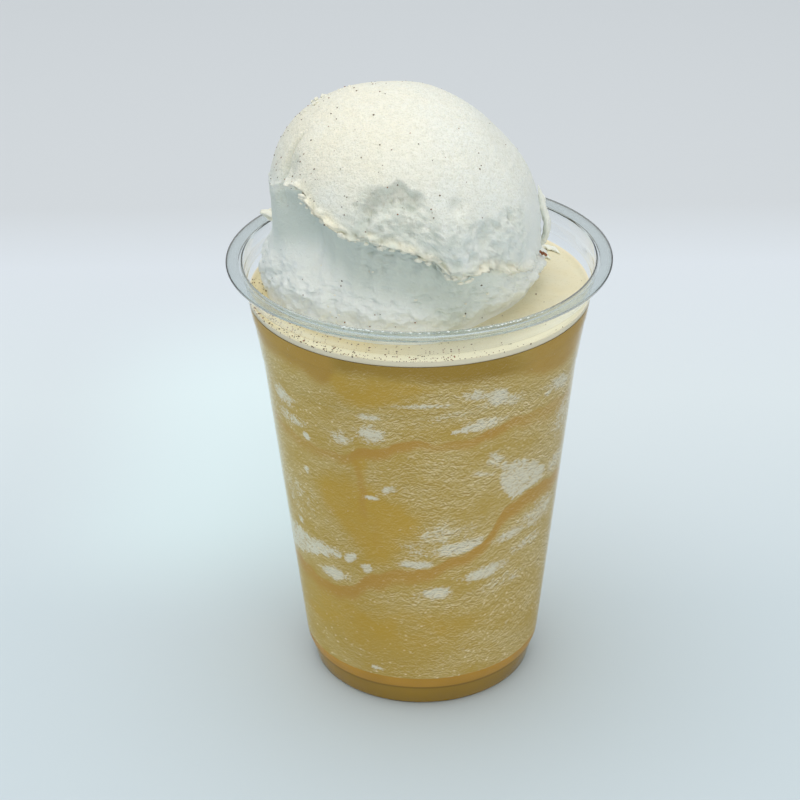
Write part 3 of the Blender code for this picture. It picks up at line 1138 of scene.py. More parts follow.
@dataclass
class FrozenChai:
    """The slush, from the froth's underside down to the clear liquid, and what shows on its side."""

    outline: CupOutline
    reach: float = 0.3
    top: float = SLUSH_TOP
    bottom: float = LIQUID_TOP
    steps: int = 480
    rows: int = 204
    lower_ribbon: tuple = (
        (0, 61), (20, 57), (45, 50), (70, 45), (95, 41), (120, 38), (145, 37.5), (170, 37), (196, 36.8),
        (210, 37), (222, 36.2), (232, 36.4), (238, 37.8), (243, 40.6), (248, 42.6), (256, 44.8),
        (262, 46.2), (273, 46.4), (276, 48.4), (283, 49.6), (290, 50.6), (295, 52.4), (299, 56.2),
        (303, 60.2), (308, 62.8), (320, 63.5), (335, 63), (350, 61.8))
    lower_strength: tuple = (
        (0, 0.5), (90, 0.7), (180, 0.6), (200, 0.75), (225, 0.95), (240, 1.0), (255, 0.85), (265, 0.75),
        (275, 0.9), (290, 1.0), (303, 1.0), (312, 0.9), (330, 0.8), (345, 0.7))
    lower_depth: tuple = (
        (0, 3.6), (180, 4.0), (200, 5.4), (240, 5.0), (256, 5.2), (272, 5.0), (285, 3.8), (298, 5.2),
        (312, 5.6), (340, 5.6))
    upper_ribbon: tuple = (
        (0, 86), (45, 83), (90, 84), (135, 81), (180, 80.5), (200, 80.5), (220, 79.4), (240, 79.8),
        (246, 81.6), (250, 83), (258, 83.2), (262, 85.8), (268, 86.6), (274, 85.6), (282, 85.3),
        (290, 86.3), (298, 88), (306, 88.8), (315, 87.8), (330, 87.5), (345, 86))
    upper_strength: tuple = (
        (0, 0.3), (60, 0.6), (120, 0.3), (200, 0.55), (240, 0.6), (248, 0.95), (256, 1.0), (266, 0.95),
        (276, 0.6), (286, 0.7), (295, 0.9), (306, 0.75), (315, 0.55), (335, 0.55))
    upper_depth: tuple = (
        (0, 3.0), (200, 4.4), (240, 4.2), (250, 3.4), (290, 3.0), (308, 3.6), (330, 6.0))
    clear_edge: tuple = (
        (0, 102), (45, 104), (90, 103), (135, 104), (190, 101), (215, 101.5), (226, 101), (231, 99),
        (236, 98.8), (239, 102), (242, 105), (255, 105.6), (270, 104.4), (285, 102.8), (298, 101.8),
        (308, 100), (318, 98), (330, 97), (340, 98.5))
    sheets: tuple[Sheet, ...] = (
        Sheet(((302.5, 76.8), (312, 75.3), (325, 69.5), (328, 66), (322, 63.8), (307, 62.8), (302, 71)),
              1.3, 1.0),
        Sheet(((190, 48), (235, 48), (235, 46.2), (216, 41.8), (190, 36)), 1.2, 0.95))
    resting: tuple[Patch, ...] = (
        Patch(268, 47.4, 4.4, 1.5, 0.0, 1.3), Patch(286, 52.2, 7.0, 2.4, 0.08, 1.3),
        Patch(229, 39.6, 4.2, 2.2, 0.1, 1.35), Patch(278, 57.5, 8.0, 3.6, 0.0, 0.75),
        Patch(268, 53.0, 5.0, 3.0, 0.0, 0.7), Patch(336, 66.5, 7.0, 3.4, 0.0, 0.8))
    floating: tuple[Patch, ...] = (
        Patch(240, 47.0, 2.1, 1.7, 0.0, 1.3), Patch(246.5, 44.6, 1.6, 2.0, 0.0, 1.0),
        Patch(297, 96.8, 2.6, 2.6, 0.0, 1.35), Patch(291, 98.2, 5.5, 1.8, -0.1, 0.9),
        Patch(303, 95.0, 5.5, 2.6, -0.2, 0.8), Patch(272, 96.3, 8.0, 1.0, 0.05, 0.9),
        Patch(210, 88.6, 5.6, 3.0, 0.12, 1.0), Patch(214, 83.6, 8.0, 2.0, 0.0, 0.8),
        Patch(252, 92.0, 3.6, 1.2, 0.0, 1.0), Patch(252.5, 87.0, 4.2, 2.9, 0.0, 1.05),
        Patch(240, 84.6, 4.2, 2.2, 0.0, 0.9), Patch(292, 89.0, 6.6, 1.7, 0.05, 1.2),
        Patch(283, 88.5, 2.6, 1.1, 0.0, 1.0), Patch(224, 80.6, 1.6, 1.0, 0.0, 1.6),
        Patch(250.5, 67.8, 2.2, 0.9, 0.1, 1.2), Patch(258.5, 70.8, 1.9, 1.1, 0.3, 1.2),
        Patch(221, 70.0, 1.4, 1.1, 0.0, 1.0), Patch(211, 51.2, 1.4, 1.4, 0.0, 1.2),
        Patch(298, 43.0, 7.0, 2.6, 0.05, 1.1), Patch(276, 38.0, 4.0, 2.1, 0.1, 1.3),
        Patch(270, 37.2, 4.8, 1.4, 0.1, 0.45), Patch(309, 52.0, 5.0, 1.9, 0.1, 1.05),
        Patch(327, 53.5, 10.0, 4.4, 0.05, 0.9), Patch(322, 91.0, 1.7, 1.0, 0.0, 1.2),
        Patch(330, 92.0, 7.5, 2.6, -0.35, 0.95), Patch(336, 80.0, 7.0, 6.0, 0.0, 0.75),
        Patch(247.5, 12.2, 1.5, 1.2, 0.0, 1.0), Patch(290, 18.0, 1.8, 0.9, 0.0, 0.6),
        Patch(284, 93.5, 9.0, 2.0, 0.1, 0.6), Patch(299, 77.5, 3.4, 2.2, -0.3, 0.9),
        Patch(294, 73.8, 3.4, 0.9, -0.1, 0.9), Patch(322, 46.8, 8.0, 2.4, 0.05, 0.75),
        Patch(306, 37.5, 8.0, 2.4, 0.05, 0.65), Patch(212, 60.0, 9.0, 6.0, 0.0, 0.5))
    calm: tuple = (
        Sheet(((224, 66), (231, 71), (248, 73), (262, 67), (270, 62), (263, 54), (256, 48), (247, 47),
               (236, 56)), 4.2, 1.0),
        Sheet(((238, 104), (262, 104.5), (272, 101), (262, 97.5), (248, 94.5), (238, 97)), 2.6, 0.9),
        Patch(247.5, 74.0, 1.7, 9.0, 0.0, 0.8), Patch(237, 26.0, 24.0, 9.0, 0.0, 0.75),
        Patch(268, 27.0, 16.0, 6.0, 0.0, 0.5))
    drips: tuple[Patch, ...] = (
        Patch(247.0, 70.0, 1.3, 12.0, 0.0, 0.6), Patch(251.5, 57.0, 1.2, 7.0, 0.0, 0.35),
        Patch(230.0, 62.0, 3.0, 8.0, 0.0, 0.25))
    stray: Lumps = Lumps(6.0, 1.6, 3, 4.0)
    waver: Lumps = Lumps(5.0, 0.8, 3, 0.0, (0.4, 0.4, 1.0))
    calm_edge: Lumps = Lumps(4.0, 0.45, 3, 8.0, (0.6, 0.6, 1.0))
    sheet_edge: Lumps = Lumps(1.5, 0.7, 3, 6.0)
    border_height: float = 11.2
    lower_level: float = 46.0
    upper_level: float = 84.0
    ripple: tuple[float, float] = (31.0, 0.35)
    back_patches: int = 22
    back_span: tuple[float, float] = (0.0, 186.0)
    back_levels: tuple[float, float] = (34.0, 99.0)
    seed: int = 11

    def build(self) -> bpy.types.Object:
        """Make the slush, which stands for the solid one.

        Returns:
            The piece.
        """
        heights = np.linspace(self.top, self.bottom, self.rows)
        radii = self.outline.filled_radius(heights, self.reach)
        path = [(0.0, self.top)] + list(zip(radii, heights)) + [(0.0, self.bottom)]
        turn = np.arange(self.steps) * math.tau / self.steps
        ring = np.stack([np.cos(turn), np.sin(turn), np.ones(self.steps)], axis=1)
        mesh = grid_mesh("slush", np.array([ring * (reach, reach, level) for reach, level in path]))
        self.note_fields(mesh)
        piece = place_piece("slush", mesh, SlushFinish().make())
        mesh.set_sharp_from_angle(angle=math.radians(50.0))
        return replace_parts(piece, "frozen_chai")

    def hidden_patches(self) -> list[Patch]:
        """Draw the patches on the back of the cup, of the same kinds as those at the front.

        Returns:
            The patches.
        """
        draw = np.random.default_rng(self.seed)
        patches = []
        for _ in range(self.back_patches):
            width = draw.uniform(1.5, 7.0)
            patches.append(Patch(
                draw.uniform(*self.back_span), draw.uniform(*self.back_levels), width,
                width * draw.uniform(0.25, 0.5), draw.normal(0.05, 0.08), draw.uniform(0.5, 1.1)))
        return patches

    def ribbon(self, azimuth: np.ndarray, height: np.ndarray, edge: np.ndarray,
               depth: np.ndarray) -> np.ndarray:
        """Give the field of an amber ribbon, crisp at its upper edge and soft below.

        Args:
            azimuth: Azimuths of the places.
            height: Their heights.
            edge: The height of the ribbon's upper edge at each.
            depth: How far down the ribbon reaches.

        Returns:
            From 0 to 1.
        """
        count, size = self.ripple
        below = edge - height + size * np.sin(np.radians(azimuth) * count)
        return rise(below, -0.4, 0.8) * (1.0 - rise(below, depth * 0.4, depth * 1.5))

    def note_fields(self, mesh: bpy.types.Mesh) -> None:
        """Keep on the mesh where amber, white, shade, grain, flecks and ice show, and how the grain flows.

        Args:
            mesh: The slush's mesh.
        """
        points = mesh_points(mesh)
        height = points[:, 2]
        radius = np.hypot(points[:, 0], points[:, 1])
        azimuth = azimuth_of(points)
        strayed = (azimuth + np.degrees(self.stray.field(points) / np.maximum(radius, 1.0))) % 360.0
        level = height + self.waver.field(points)
        lower = along_ring(self.lower_ribbon, azimuth, 1.0)
        upper = along_ring(self.upper_ribbon, azimuth, 1.5)
        amber = self.ribbon(azimuth, level, lower, along_ring(self.lower_depth, azimuth, 4.0))
        amber = amber * along_ring(self.lower_strength, azimuth, 3.0)
        thin = self.ribbon(azimuth, level, upper, along_ring(self.upper_depth, azimuth, 4.0))
        amber = np.maximum(amber, thin * along_ring(self.upper_strength, azimuth, 2.0))
        amber = np.maximum(amber, strongest(self.drips, strayed, level, radius))
        calm = strongest(self.calm, strayed, level, radius)
        calm = np.clip(calm + self.calm_edge.field(points) * rise(calm, 0.0, 0.5), 0.0, 1.0)
        above = rise(level - lower, -0.1, 0.5)
        white = strongest(self.resting, strayed, height, radius) * above
        sheets = strongest(self.sheets, strayed, level + self.sheet_edge.field(points), radius)
        white = np.maximum(white, sheets * above)
        loose = list(self.floating) + self.hidden_patches()
        white = np.maximum(white, strongest(loose, strayed, level, radius))
        edge = along_ring(self.clear_edge, azimuth, 1.5)
        shade = rise(level - edge, -3.4, 2.4)
        flank = 1.0 - hump(azimuth, 238.0, 246.0, 292.0, 315.0)
        amber = np.maximum(amber, 0.7 * flank * shade)
        right = rise(turned_from(azimuth, 285.0), -25.0, 40.0)
        low = 1.0 - rise(height, 26.0, 38.0)
        busy = rise(azimuth, 238.0, 266.0)
        grain = 0.5 + 0.28 * busy + 0.27 * right
        grain = grain * (1.0 - 0.75 * np.clip(calm, 0.0, 1.0)) * (1.0 - 0.35 * low)
        grain = grain * (1.0 - 0.85 * np.clip(amber, 0.0, 1.0)) * (1.0 - 0.9 * shade)
        grain = grain * (1.0 - 0.45 * rise(sheets, 0.7, 1.1))
        border = np.exp(-((height - self.border_height) / 0.8) ** 2)
        share = rise(height, self.lower_level, self.upper_level)
        flow = (lower - self.lower_level) * 0.3 * (1.0 - share) * rise(height, 14.0, 44.0)
        flow += (upper - self.upper_level) * 0.6 * share
        icy = 0.45 + 0.35 * right - 0.25 * low - 0.3 * calm
        icy += 0.3 * hump(azimuth, 186.0, 196.0, 196.0, 226.0)
        fleck = np.clip(0.7 * low + 1.2 * border + 0.85 - 0.3 * busy, 0.0, 1.0)
        fleck = fleck * (1.0 - shade) * (1.0 - 0.8 * np.clip(amber + calm, 0.0, 1.0))
        # lit marks the left flank, which is painted lighter as painted light.
        fields = {
            "amber": amber, "calm": calm, "white": white, "shade": shade * (1.0 - 0.6 * flank),
            "grain": grain, "fleck": fleck, "icy": icy, "lit": hump(azimuth, 172.0, 192.0, 206.0, 246.0),
            "flow": flow * MM}
        for name, values in fields.items():
            note(mesh, name, values)


@dataclass
class SettledChai:
    """The clear liquid in the foot of the cup."""

    outline: CupOutline
    reach: float = 0.3
    top: float = LIQUID_TOP
    steps: int = 240

    def build(self) -> bpy.types.Object:
        """Make the liquid, which stands for the solid one.

        Returns:
            The piece.
        """
        whole = self.outline.filled(self.reach)
        start = next(index for index, point in enumerate(whole) if point[1] < self.top)
        radius = float(self.outline.filled_radius(np.array([self.top]), self.reach)[0])
        path = [(0.0, self.top), (radius, self.top)] + whole[start:]
        mesh = lathe("settled", path, self.steps)
        piece = place_piece("settled", mesh, SettledFinish().make())
        mesh.set_sharp_from_angle(angle=math.radians(40.0))
        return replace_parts(piece, "settled_chai")


# The cream


@dataclass(frozen=True)
class Hollow:
    """A hollow torn in the cream: its middle's azimuth and elevation, half width, half height, depth."""

    azimuth: float
    elevation: float
    half_width: float
    half_height: float
    depth: float

    def sink(self, azimuth: np.ndarray, elevation: np.ndarray, reach: float) -> np.ndarray:
        """Give how deep the hollow sinks each place.

        Args:
            azimuth: Azimuths of the places round the cream's middle.
            elevation: Their elevations.
            reach: The cream's radius, which turns degrees into lengths.

        Returns:
            The depth in millimetres.
        """
        scale = math.radians(reach)
        across = turned_from(azimuth, self.azimuth) * scale / self.half_width
        across = across * np.cos(np.radians(elevation))
        up = (elevation - self.elevation) * scale / self.half_height
        return self.depth * (1.0 - rise(np.hypot(across, up), 0.0, 1.3))


@dataclass
class WhippedCream:
    """The dollop: a torn cap over a wider foot.

    Reaches and depths that go round the cream are spread evenly from azimuth 0. A stretch is a part of
    the way down the side, from pole to pole: its start and end as shares of the way, and its rows.
    """

    outline: CupOutline
    axis: tuple[float, float] = CREAM_AXIS
    top: float = 162.0
    lean: float = 4.5
    cap_middle: float = 129.4
    cap_power: float = 2.1
    skirt_height: float = 116.1
    cap_reach: tuple = (33.5, 34.1, 34.5, 34.9, 34.3, 35.3, 35.5, 35.1)
    ledge_depth: tuple = (0.6, 1.0, 1.2, 1.0, 0.6, 4.6, 5.5, 2.2)
    skirt_reach: tuple = (35.1, 36.3, 35.8, 36.8, 36.7, 33.7, 33.3, 31.4)
    foot_reach_values: tuple = (31.4, 35.7, 35.3, 36.3, 35.8, 33.2, 32.4, 27.8)
    lump_fade: float = 2.5
    torn_edge: tuple = (
        (0, 121.5), (45, 124.5), (90, 129.4), (135, 134.8), (180, 139.0), (205, 143.0), (216, 145.0),
        (222, 144.8), (228, 142.8), (232, 141.2), (236, 140.2), (241, 139.0), (247, 137.3), (253, 136.5),
        (258, 136.8), (262, 136.4), (268, 135.6), (275, 133.7), (281, 132.0), (285, 129.2), (288, 126.4),
        (294, 126.6), (304, 127.6), (310, 126.0), (318, 123.8), (325, 122.4), (340, 121.6))
    edge_waves: tuple = ((23, 0.3, 0.0), (41, 0.2, 1.0))
    flush_middle: float = 194.0
    flush_half: float = 17.0
    flush_out: float = 1.5
    waist_share: float = 0.5
    froth_underside: float = SLUSH_TOP
    froth_top: float = FROTH_TOP
    froth_ring: float = 1.6
    columns: int = 420
    front_share: float = 0.4
    stretches: tuple = (
        (0.0, 0.52, 104), (0.52, 0.68, 58), (0.68, 0.84, 50), (0.84, 0.93, 18), (0.93, 1.0, 2))
    packing: float = 0.75
    middle: tuple[float, float, float] = (*CREAM_AXIS, 127.1)
    hollows: tuple[Hollow, ...] = (
        Hollow(304, 13, 3.2, 4.0, 2.4), Hollow(293, 27, 2.2, 2.8, 1.4), Hollow(208, 33, 2.6, 4.0, 1.8),
        Hollow(320, 17, 1.0, 2.4, 1.2), Hollow(252, 22, 1.2, 1.2, 0.6), Hollow(269, 24, 1.0, 1.2, 0.6))
    hollow_scale: float = 35.0
    fold: tuple[float, float, float] = (204.0, 3.8, 3.2)
    fold_top: float = 157.0
    fold_fade: float = 8.0
    swell: Lumps = Lumps(15.0, 0.7)
    skin: Lumps = Lumps(1.3, 0.09, 3, 9.0)
    creases: Lumps = Lumps(1.9, 1.25, 4, 5.0, (1.0, 1.0, 0.6))
    pits: Lumps = Lumps(2.8, 1.0, 2, 6.0, (1.0, 1.0, 0.7))
    heaves: Lumps = Lumps(7.0, 0.5, 2, 1.0)
    crackle: Lumps = Lumps(0.9, 0.45, 3, 2.5)
    dimples: Lumps = Lumps(2.4, 0.6, 4, 2.0)
    foot_lumps: Lumps = Lumps(4.5, 1.2, 3, 7.0)
    foot_creases: Lumps = Lumps(2.6, 1.1, 3, 8.0)
    foot_nicks: Lumps = Lumps(2.2, 1.0, 2, 4.4, (1.0, 1.0, 1.6))
    crumble: Lumps = Lumps(2.1, 2.4, 4, 3.0)
    drips: Lumps = Lumps(3.6, 0.7, 2, 2.0, (1.0, 1.0, 0.16))

    def foot_reach(self, azimuth: np.ndarray) -> np.ndarray:
        """Give the reach of the foot, which leaves a ring of froth along the wall.

        Args:
            azimuth: Azimuths round the cream's axis.

        Returns:
            The reach at each.
        """
        reach = around(self.foot_reach_values, azimuth)
        wall = self.outline.filled_radius(np.array([self.froth_underside]), -0.3)[0] - self.froth_ring
        turn = np.radians(azimuth)
        along = self.axis[0] * np.cos(turn) + self.axis[1] * np.sin(turn)
        across = self.axis[0] * np.sin(turn) - self.axis[1] * np.cos(turn)
        return np.minimum(reach, np.sqrt(wall * wall - across * across) - along)

    def cap_radius(self, azimuth: np.ndarray, height: np.ndarray) -> np.ndarray:
        """Give the radius of the cap at a height."""
        share = np.clip((height - self.cap_middle) / (self.top - self.cap_middle), 0.0, 1.0)
        return around(self.cap_reach, azimuth) * (1.0 - share ** self.cap_power) ** (1.0 / self.cap_power)

    def edge_height(self, azimuth: np.ndarray) -> np.ndarray:
        """Give the height of the cap's torn edge, with its small waves."""
        waves = (size * np.sin(count * np.radians(azimuth) + shift)
                 for count, size, shift in self.edge_waves)
        return along_ring(self.torn_edge, azimuth, 1.5) + sum(waves)

    def lean_at(self, height: np.ndarray) -> np.ndarray:
        """Give how far the cap leans to the left at a height."""
        return self.lean * eased((height - self.cap_middle) / (self.top - self.cap_middle))

    def profile(self, azimuth: np.ndarray, share: np.ndarray) -> tuple[np.ndarray, np.ndarray]:
        """Give the side's radius and height for a share of the way from pole to pole.

        Args:
            azimuth: Azimuths round the cream's axis.
            share: 0 at the upper pole, 1 at the lower one.

        Returns:
            Radii and heights.
        """
        cap, ledge, skirt, foot = (end for _, end, _ in self.stretches[:4])
        edge_height = self.edge_height(azimuth)
        edge = self.cap_radius(azimuth, edge_height)
        flush = np.exp(-(turned_from(azimuth, self.flush_middle) / self.flush_half) ** 2)
        waist = edge - around(self.ledge_depth, azimuth) * (1.0 - flush) + self.flush_out * flush
        waist_height = edge_height - self.waist_share * (edge_height - self.skirt_height)
        skirt_reach = around(self.skirt_reach, azimuth)
        foot_reach = self.foot_reach(azimuth)
        turn = np.sin(np.clip(share / cap, 0, 1) * math.pi / 4) ** 2 * 2
        height = self.top - (self.top - edge_height) * turn
        radius = self.cap_radius(azimuth, height)
        way = np.clip((share - cap) / (ledge - cap), 0, 1)
        under = share > cap
        radius = np.where(under, edge + (waist - edge) * (1.0 - (1.0 - way) ** 2), radius)
        height = np.where(under, edge_height + (waist_height - edge_height) * way ** 1.5, height)
        way = np.clip((share - ledge) / (skirt - ledge), 0, 1)
        band = share > ledge
        radius = np.where(band, waist + (skirt_reach - waist) * eased(way), radius)
        height = np.where(band, waist_height + (self.skirt_height - waist_height) * way, height)
        way = np.clip((share - skirt) / (foot - skirt), 0, 1)
        low = share > skirt
        height = np.where(low, self.skirt_height + (self.froth_underside - self.skirt_height) * way, height)
        tuck = eased((self.skirt_height - height) / (self.skirt_height - self.froth_top - 0.8))
        radius = np.where(low, skirt_reach + (foot_reach - skirt_reach) * tuck, radius)
        floor = share > foot
        radius = np.where(floor, foot_reach * (1.0 - share) / (1.0 - foot), radius)
        return radius, height

    def build(self) -> bpy.types.Object:
        """Make the dollop, which stands for the solid one.

        Returns:
            The piece.
        """
        shares = np.concatenate([np.linspace(start, end, count, endpoint=False)
                                 for start, end, count in self.stretches] + [[1.0]])
        cap = self.stretches[0][1]
        shares = np.where(shares < cap, cap * (shares / cap) ** self.packing, shares)
        turn = np.arange(self.columns) * math.tau / self.columns
        columns = np.degrees(turn + self.front_share * np.cos(turn))
        azimuth, share = np.meshgrid(columns, shares)
        azimuth = azimuth.ravel()
        share = share.ravel()
        radius, height = self.profile(azimuth, share)
        radius = np.maximum(radius - self.fold_depth(azimuth, height), 0.0)
        turn = np.radians(azimuth)
        x = self.axis[0] - self.lean_at(height) + radius * np.cos(turn)
        points = np.stack([x, self.axis[1] + radius * np.sin(turn), height], axis=1)
        points += self.relief(points, share)
        mesh = grid_mesh("cream", points.reshape(len(shares), self.columns, 3))
        self.note_fields(mesh)
        piece = place_piece("cream", mesh, CreamFinish().make())
        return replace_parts(piece, "whipped_cream")

    def fold_depth(self, azimuth: np.ndarray, height: np.ndarray) -> np.ndarray:
        """Give how deep the upright fold at the cap's left is.

        Args:
            azimuth: Azimuths round the cream's axis.
            height: Heights of the places.

        Returns:
            The depth in millimetres.
        """
        place, half_angle, depth = self.fold
        across = 1.0 - eased(np.abs(azimuth - place) / half_angle)
        lower = eased((height - self.edge_height(azimuth)) / self.fold_fade + 1.0)
        return depth * across * eased((self.fold_top - height) / self.fold_fade) * lower

    def bearings(self, points: np.ndarray) -> tuple[np.ndarray, np.ndarray, np.ndarray]:
        """Give the azimuth, elevation and outward direction of points from the cream's middle.

        Args:
            points: The points.

        Returns:
            Azimuths and elevations in degrees, and directions of length 1.
        """
        away = points - np.array(self.middle)
        outward = away / np.maximum(np.linalg.norm(away, axis=1), 0.001)[:, None]
        return azimuth_of(away), np.degrees(np.arcsin(np.clip(outward[:, 2], -1, 1))), outward

    def torn_zone(self, azimuth: np.ndarray, elevation: np.ndarray) -> np.ndarray:
        """Give where the front of the cap is torn open, from 0 to 1.

        Args:
            azimuth: Azimuths of the places.
            elevation: Their elevations.

        Returns:
            The share at each place.
        """
        sides = hump(turned_from(azimuth, 285.0), -48.0, -30.0, 34.0, 52.0)
        top = 21.0 + 14.0 * near_azimuth(azimuth, 263.0, 10.0, 24.0)
        return sides * rise(elevation, -8.0, 2.0) * (1.0 - rise(elevation - top, -4.0, 5.0))

    def scoop(self, azimuth: np.ndarray, elevation: np.ndarray) -> np.ndarray:
        """Give the depth of the scoop at the front, which has a sharp upper edge and runs out below.

        Args:
            azimuth: Azimuths of the places.
            elevation: Their elevations.

        Returns:
            The depth in millimetres.
        """
        arch = 37.5 - (turned_from(azimuth, 267.0) / 12.0) ** 2 * 6.0
        below = arch - 1.2 * np.sin(np.radians(azimuth) * 36) - elevation
        return near_azimuth(azimuth, 265.0, 8.0, 16.0) * hump(below, -0.8, 1.6, 3.0, 15.0) * 2.5

    def relief(self, points: np.ndarray, share: np.ndarray) -> np.ndarray:
        """Give how far each point of the smooth form moves, for lumps, torn edges, hollows and drips.

        Args:
            points: The smooth form's points.
            share: Each point's share of the way from pole to pole.

        Returns:
            One move for each point.
        """
        azimuth, elevation, outward = self.bearings(points)
        cap, _, skirt, foot = (end for _, end, _ in self.stretches[:4])
        fade = eased((points[:, 2] - self.froth_top - 0.8) / self.lump_fade) * (share <= foot)
        torn = self.creases.ridges(points, 0.35) - 0.7 * rise(self.pits.field(points), 0.2, 0.5)
        torn += self.heaves.field(points) + self.crackle.ridges(points, 0.3)
        low = self.foot_lumps.field(points) + self.foot_creases.ridges(points, 0.3)
        low -= 0.5 * rise(self.foot_nicks.field(points), 0.25, 0.5)
        edge = (self.crumble.field(points) + 0.7) * np.exp(-((share - cap) / 0.022) ** 2)
        edge *= 0.25 + 0.75 * hump(azimuth, 196.0, 222.0, 325.0, 350.0)
        move = self.swell.field(points) + self.skin.field(points) + edge
        move += torn * self.torn_zone(azimuth, elevation) + low * (1.0 - rise(elevation, -14.0, -2.0))
        move += self.drips.field(points) * (share > cap) * (share < skirt)
        move -= sum(hollow.sink(azimuth, elevation, self.hollow_scale) for hollow in self.hollows)
        move -= self.scoop(azimuth, elevation)
        return outward * (fade * move)[:, None]

    def note_fields(self, mesh: bpy.types.Mesh) -> None:
        """Keep on the mesh where the cream is in shade, warm, dry and pale yellow.

        Args:
            mesh: The cream's mesh.
        """
        points = mesh_points(mesh)
        azimuth, elevation, _ = self.bearings(points)
        left = rise(-points[:, 0], -20.0, 22.0)
        high = rise(elevation, 10.0, 45.0)
        edge = self.edge_height(azimuth)
        below = edge - points[:, 2]
        lip = np.exp(-((below + 0.6) / 1.8) ** 2) * hump(azimuth, 212.0, 232.0, 318.0, 340.0)
        shade = hump(below, 0.2, 2.5, 11.0, 19.0) * hump(azimuth, 172.0, 198.0, 290.0, 325.0)
        dim = self.torn_zone(azimuth, elevation) * (0.42 + self.dimples.field(points))
        dim *= 1.0 - 0.45 * rise(azimuth, 284.0, 300.0)
        note(mesh, "shade", np.maximum(shade * 0.75, dim))
        note(mesh, "warm", -0.1 + rise(elevation, -10.0, 40.0) * (0.35 + 0.65 * left * high))
        note(mesh, "dry", rise(elevation, 5.0, 30.0))
        note(mesh, "lip", lip)


@dataclass
class CreamCrumbs:
    """Crumbs of cream on the torn edge, the crown and the band, and the dab that reaches the lip."""

    cream: WhippedCream
    finish: bpy.types.Material
    edge_spans: tuple = ((216.0, 262.0, 30), (262.0, 304.0, 30))
    crown_span: tuple[float, float, int] = (140.0, 178.0, 16)
    crown_levels: tuple[float, float] = (156.0, 160.4)
    band_span: tuple[float, float, int] = (205.0, 335.0, 16)
    band_levels: tuple[float, float] = (112.0, 128.0)
    looks: tuple = (("warm", 0.5), ("lip", 0.45), ("shade", 0.0), ("dry", 0.4))
    edge_size: tuple[float, float] = (0.2, 0.75)
    loose_size: tuple[float, float] = (0.2, 0.5)
    dab: tuple[float, float, float] = (151.0, 39.8, 120.4)
    dab_half: tuple[float, float, float] = (7.4, 2.4, 1.6)
    seed: int = 21

    def add_crumb(self, shape: bmesh.types.BMesh, middle: Vector, azimuth: float, half: Sequence[float],
                  detail: int) -> None:
        """Add one uneven crumb.

        Args:
            shape: The mesh that it goes into.
            middle: Its middle in millimetres.
            azimuth: The way that its first half size points, in degrees.
            half: Its half sizes in millimetres.
            detail: How finely it is divided.
        """
        made = bmesh.ops.create_icosphere(shape, subdivisions=detail, radius=1.0)
        turn = Matrix.Rotation(math.radians(azimuth), 3, "Z")
        for spot in made["verts"]:
            lump = 1.0 + 0.45 * noise.noise(spot.co * 1.7 + middle * 3.0)
            place = turn @ Vector([value * size * lump for value, size in zip(spot.co, half)])
            spot.co = (place + middle) * MM

    def build(self) -> bpy.types.Object:
        """Make all the crumbs as one mesh.

        Returns:
            The piece.
        """
        draw = np.random.default_rng(self.seed)
        shape = bmesh.new()
        places = np.concatenate([draw.uniform(*span) for span in (*self.edge_spans, self.crown_span)])
        levels = self.cream.edge_height(places) + draw.normal(-0.1, 0.5, len(places))
        crown = self.crown_span[2]
        levels[-crown:] = draw.uniform(*self.crown_levels, crown)
        reaches = self.cream.cap_radius(places, levels) + draw.uniform(-0.3, 0.5, len(places))
        sizes = draw.uniform(*self.edge_size, len(places))
        loose = draw.uniform(*self.band_span)
        band_levels = draw.uniform(*self.band_levels, len(loose))
        ends = [end for _, end, _ in self.cream.stretches[1:3]]
        band = self.cream.profile(np.tile(loose, 2), np.repeat(ends, len(loose)))
        waist, skirt = np.split(band[0], 2)
        high, low = np.split(band[1], 2)
        way = np.clip((high - band_levels) / (high - low), 0.0, 1.0)
        reaches = np.concatenate([reaches, waist + (skirt - waist) * eased(way)])
        sizes = np.concatenate([sizes, draw.uniform(*self.loose_size, len(loose))])
        places = np.concatenate([places, loose])
        levels = np.concatenate([levels, band_levels])
        x, y = self.cream.axis
        for azimuth, level, reach, size in zip(places, levels, reaches, sizes):
            middle = spot_at(azimuth, reach, level, (x - self.cream.lean_at(level), y))
            half = (size * 0.7, size * draw.uniform(0.9, 1.8), size * draw.uniform(0.6, 1.0))
            self.add_crumb(shape, middle, azimuth, half, 2)
        self.add_crumb(shape, spot_at(*self.dab), self.dab[0], self.dab_half, 4)
        mesh = mesh_of(shape, "cream_crumbs")
        note_even(mesh, self.looks)
        return place_piece("cream_crumbs", mesh, self.finish)


@dataclass(frozen=True)
class Strand:
    """A thin strand of cream along a line of places: its half widths there and its half thickness."""

    places: tuple[tuple[float, float, float], ...]
    half_widths: tuple[float, ...]
    half_thickness: float


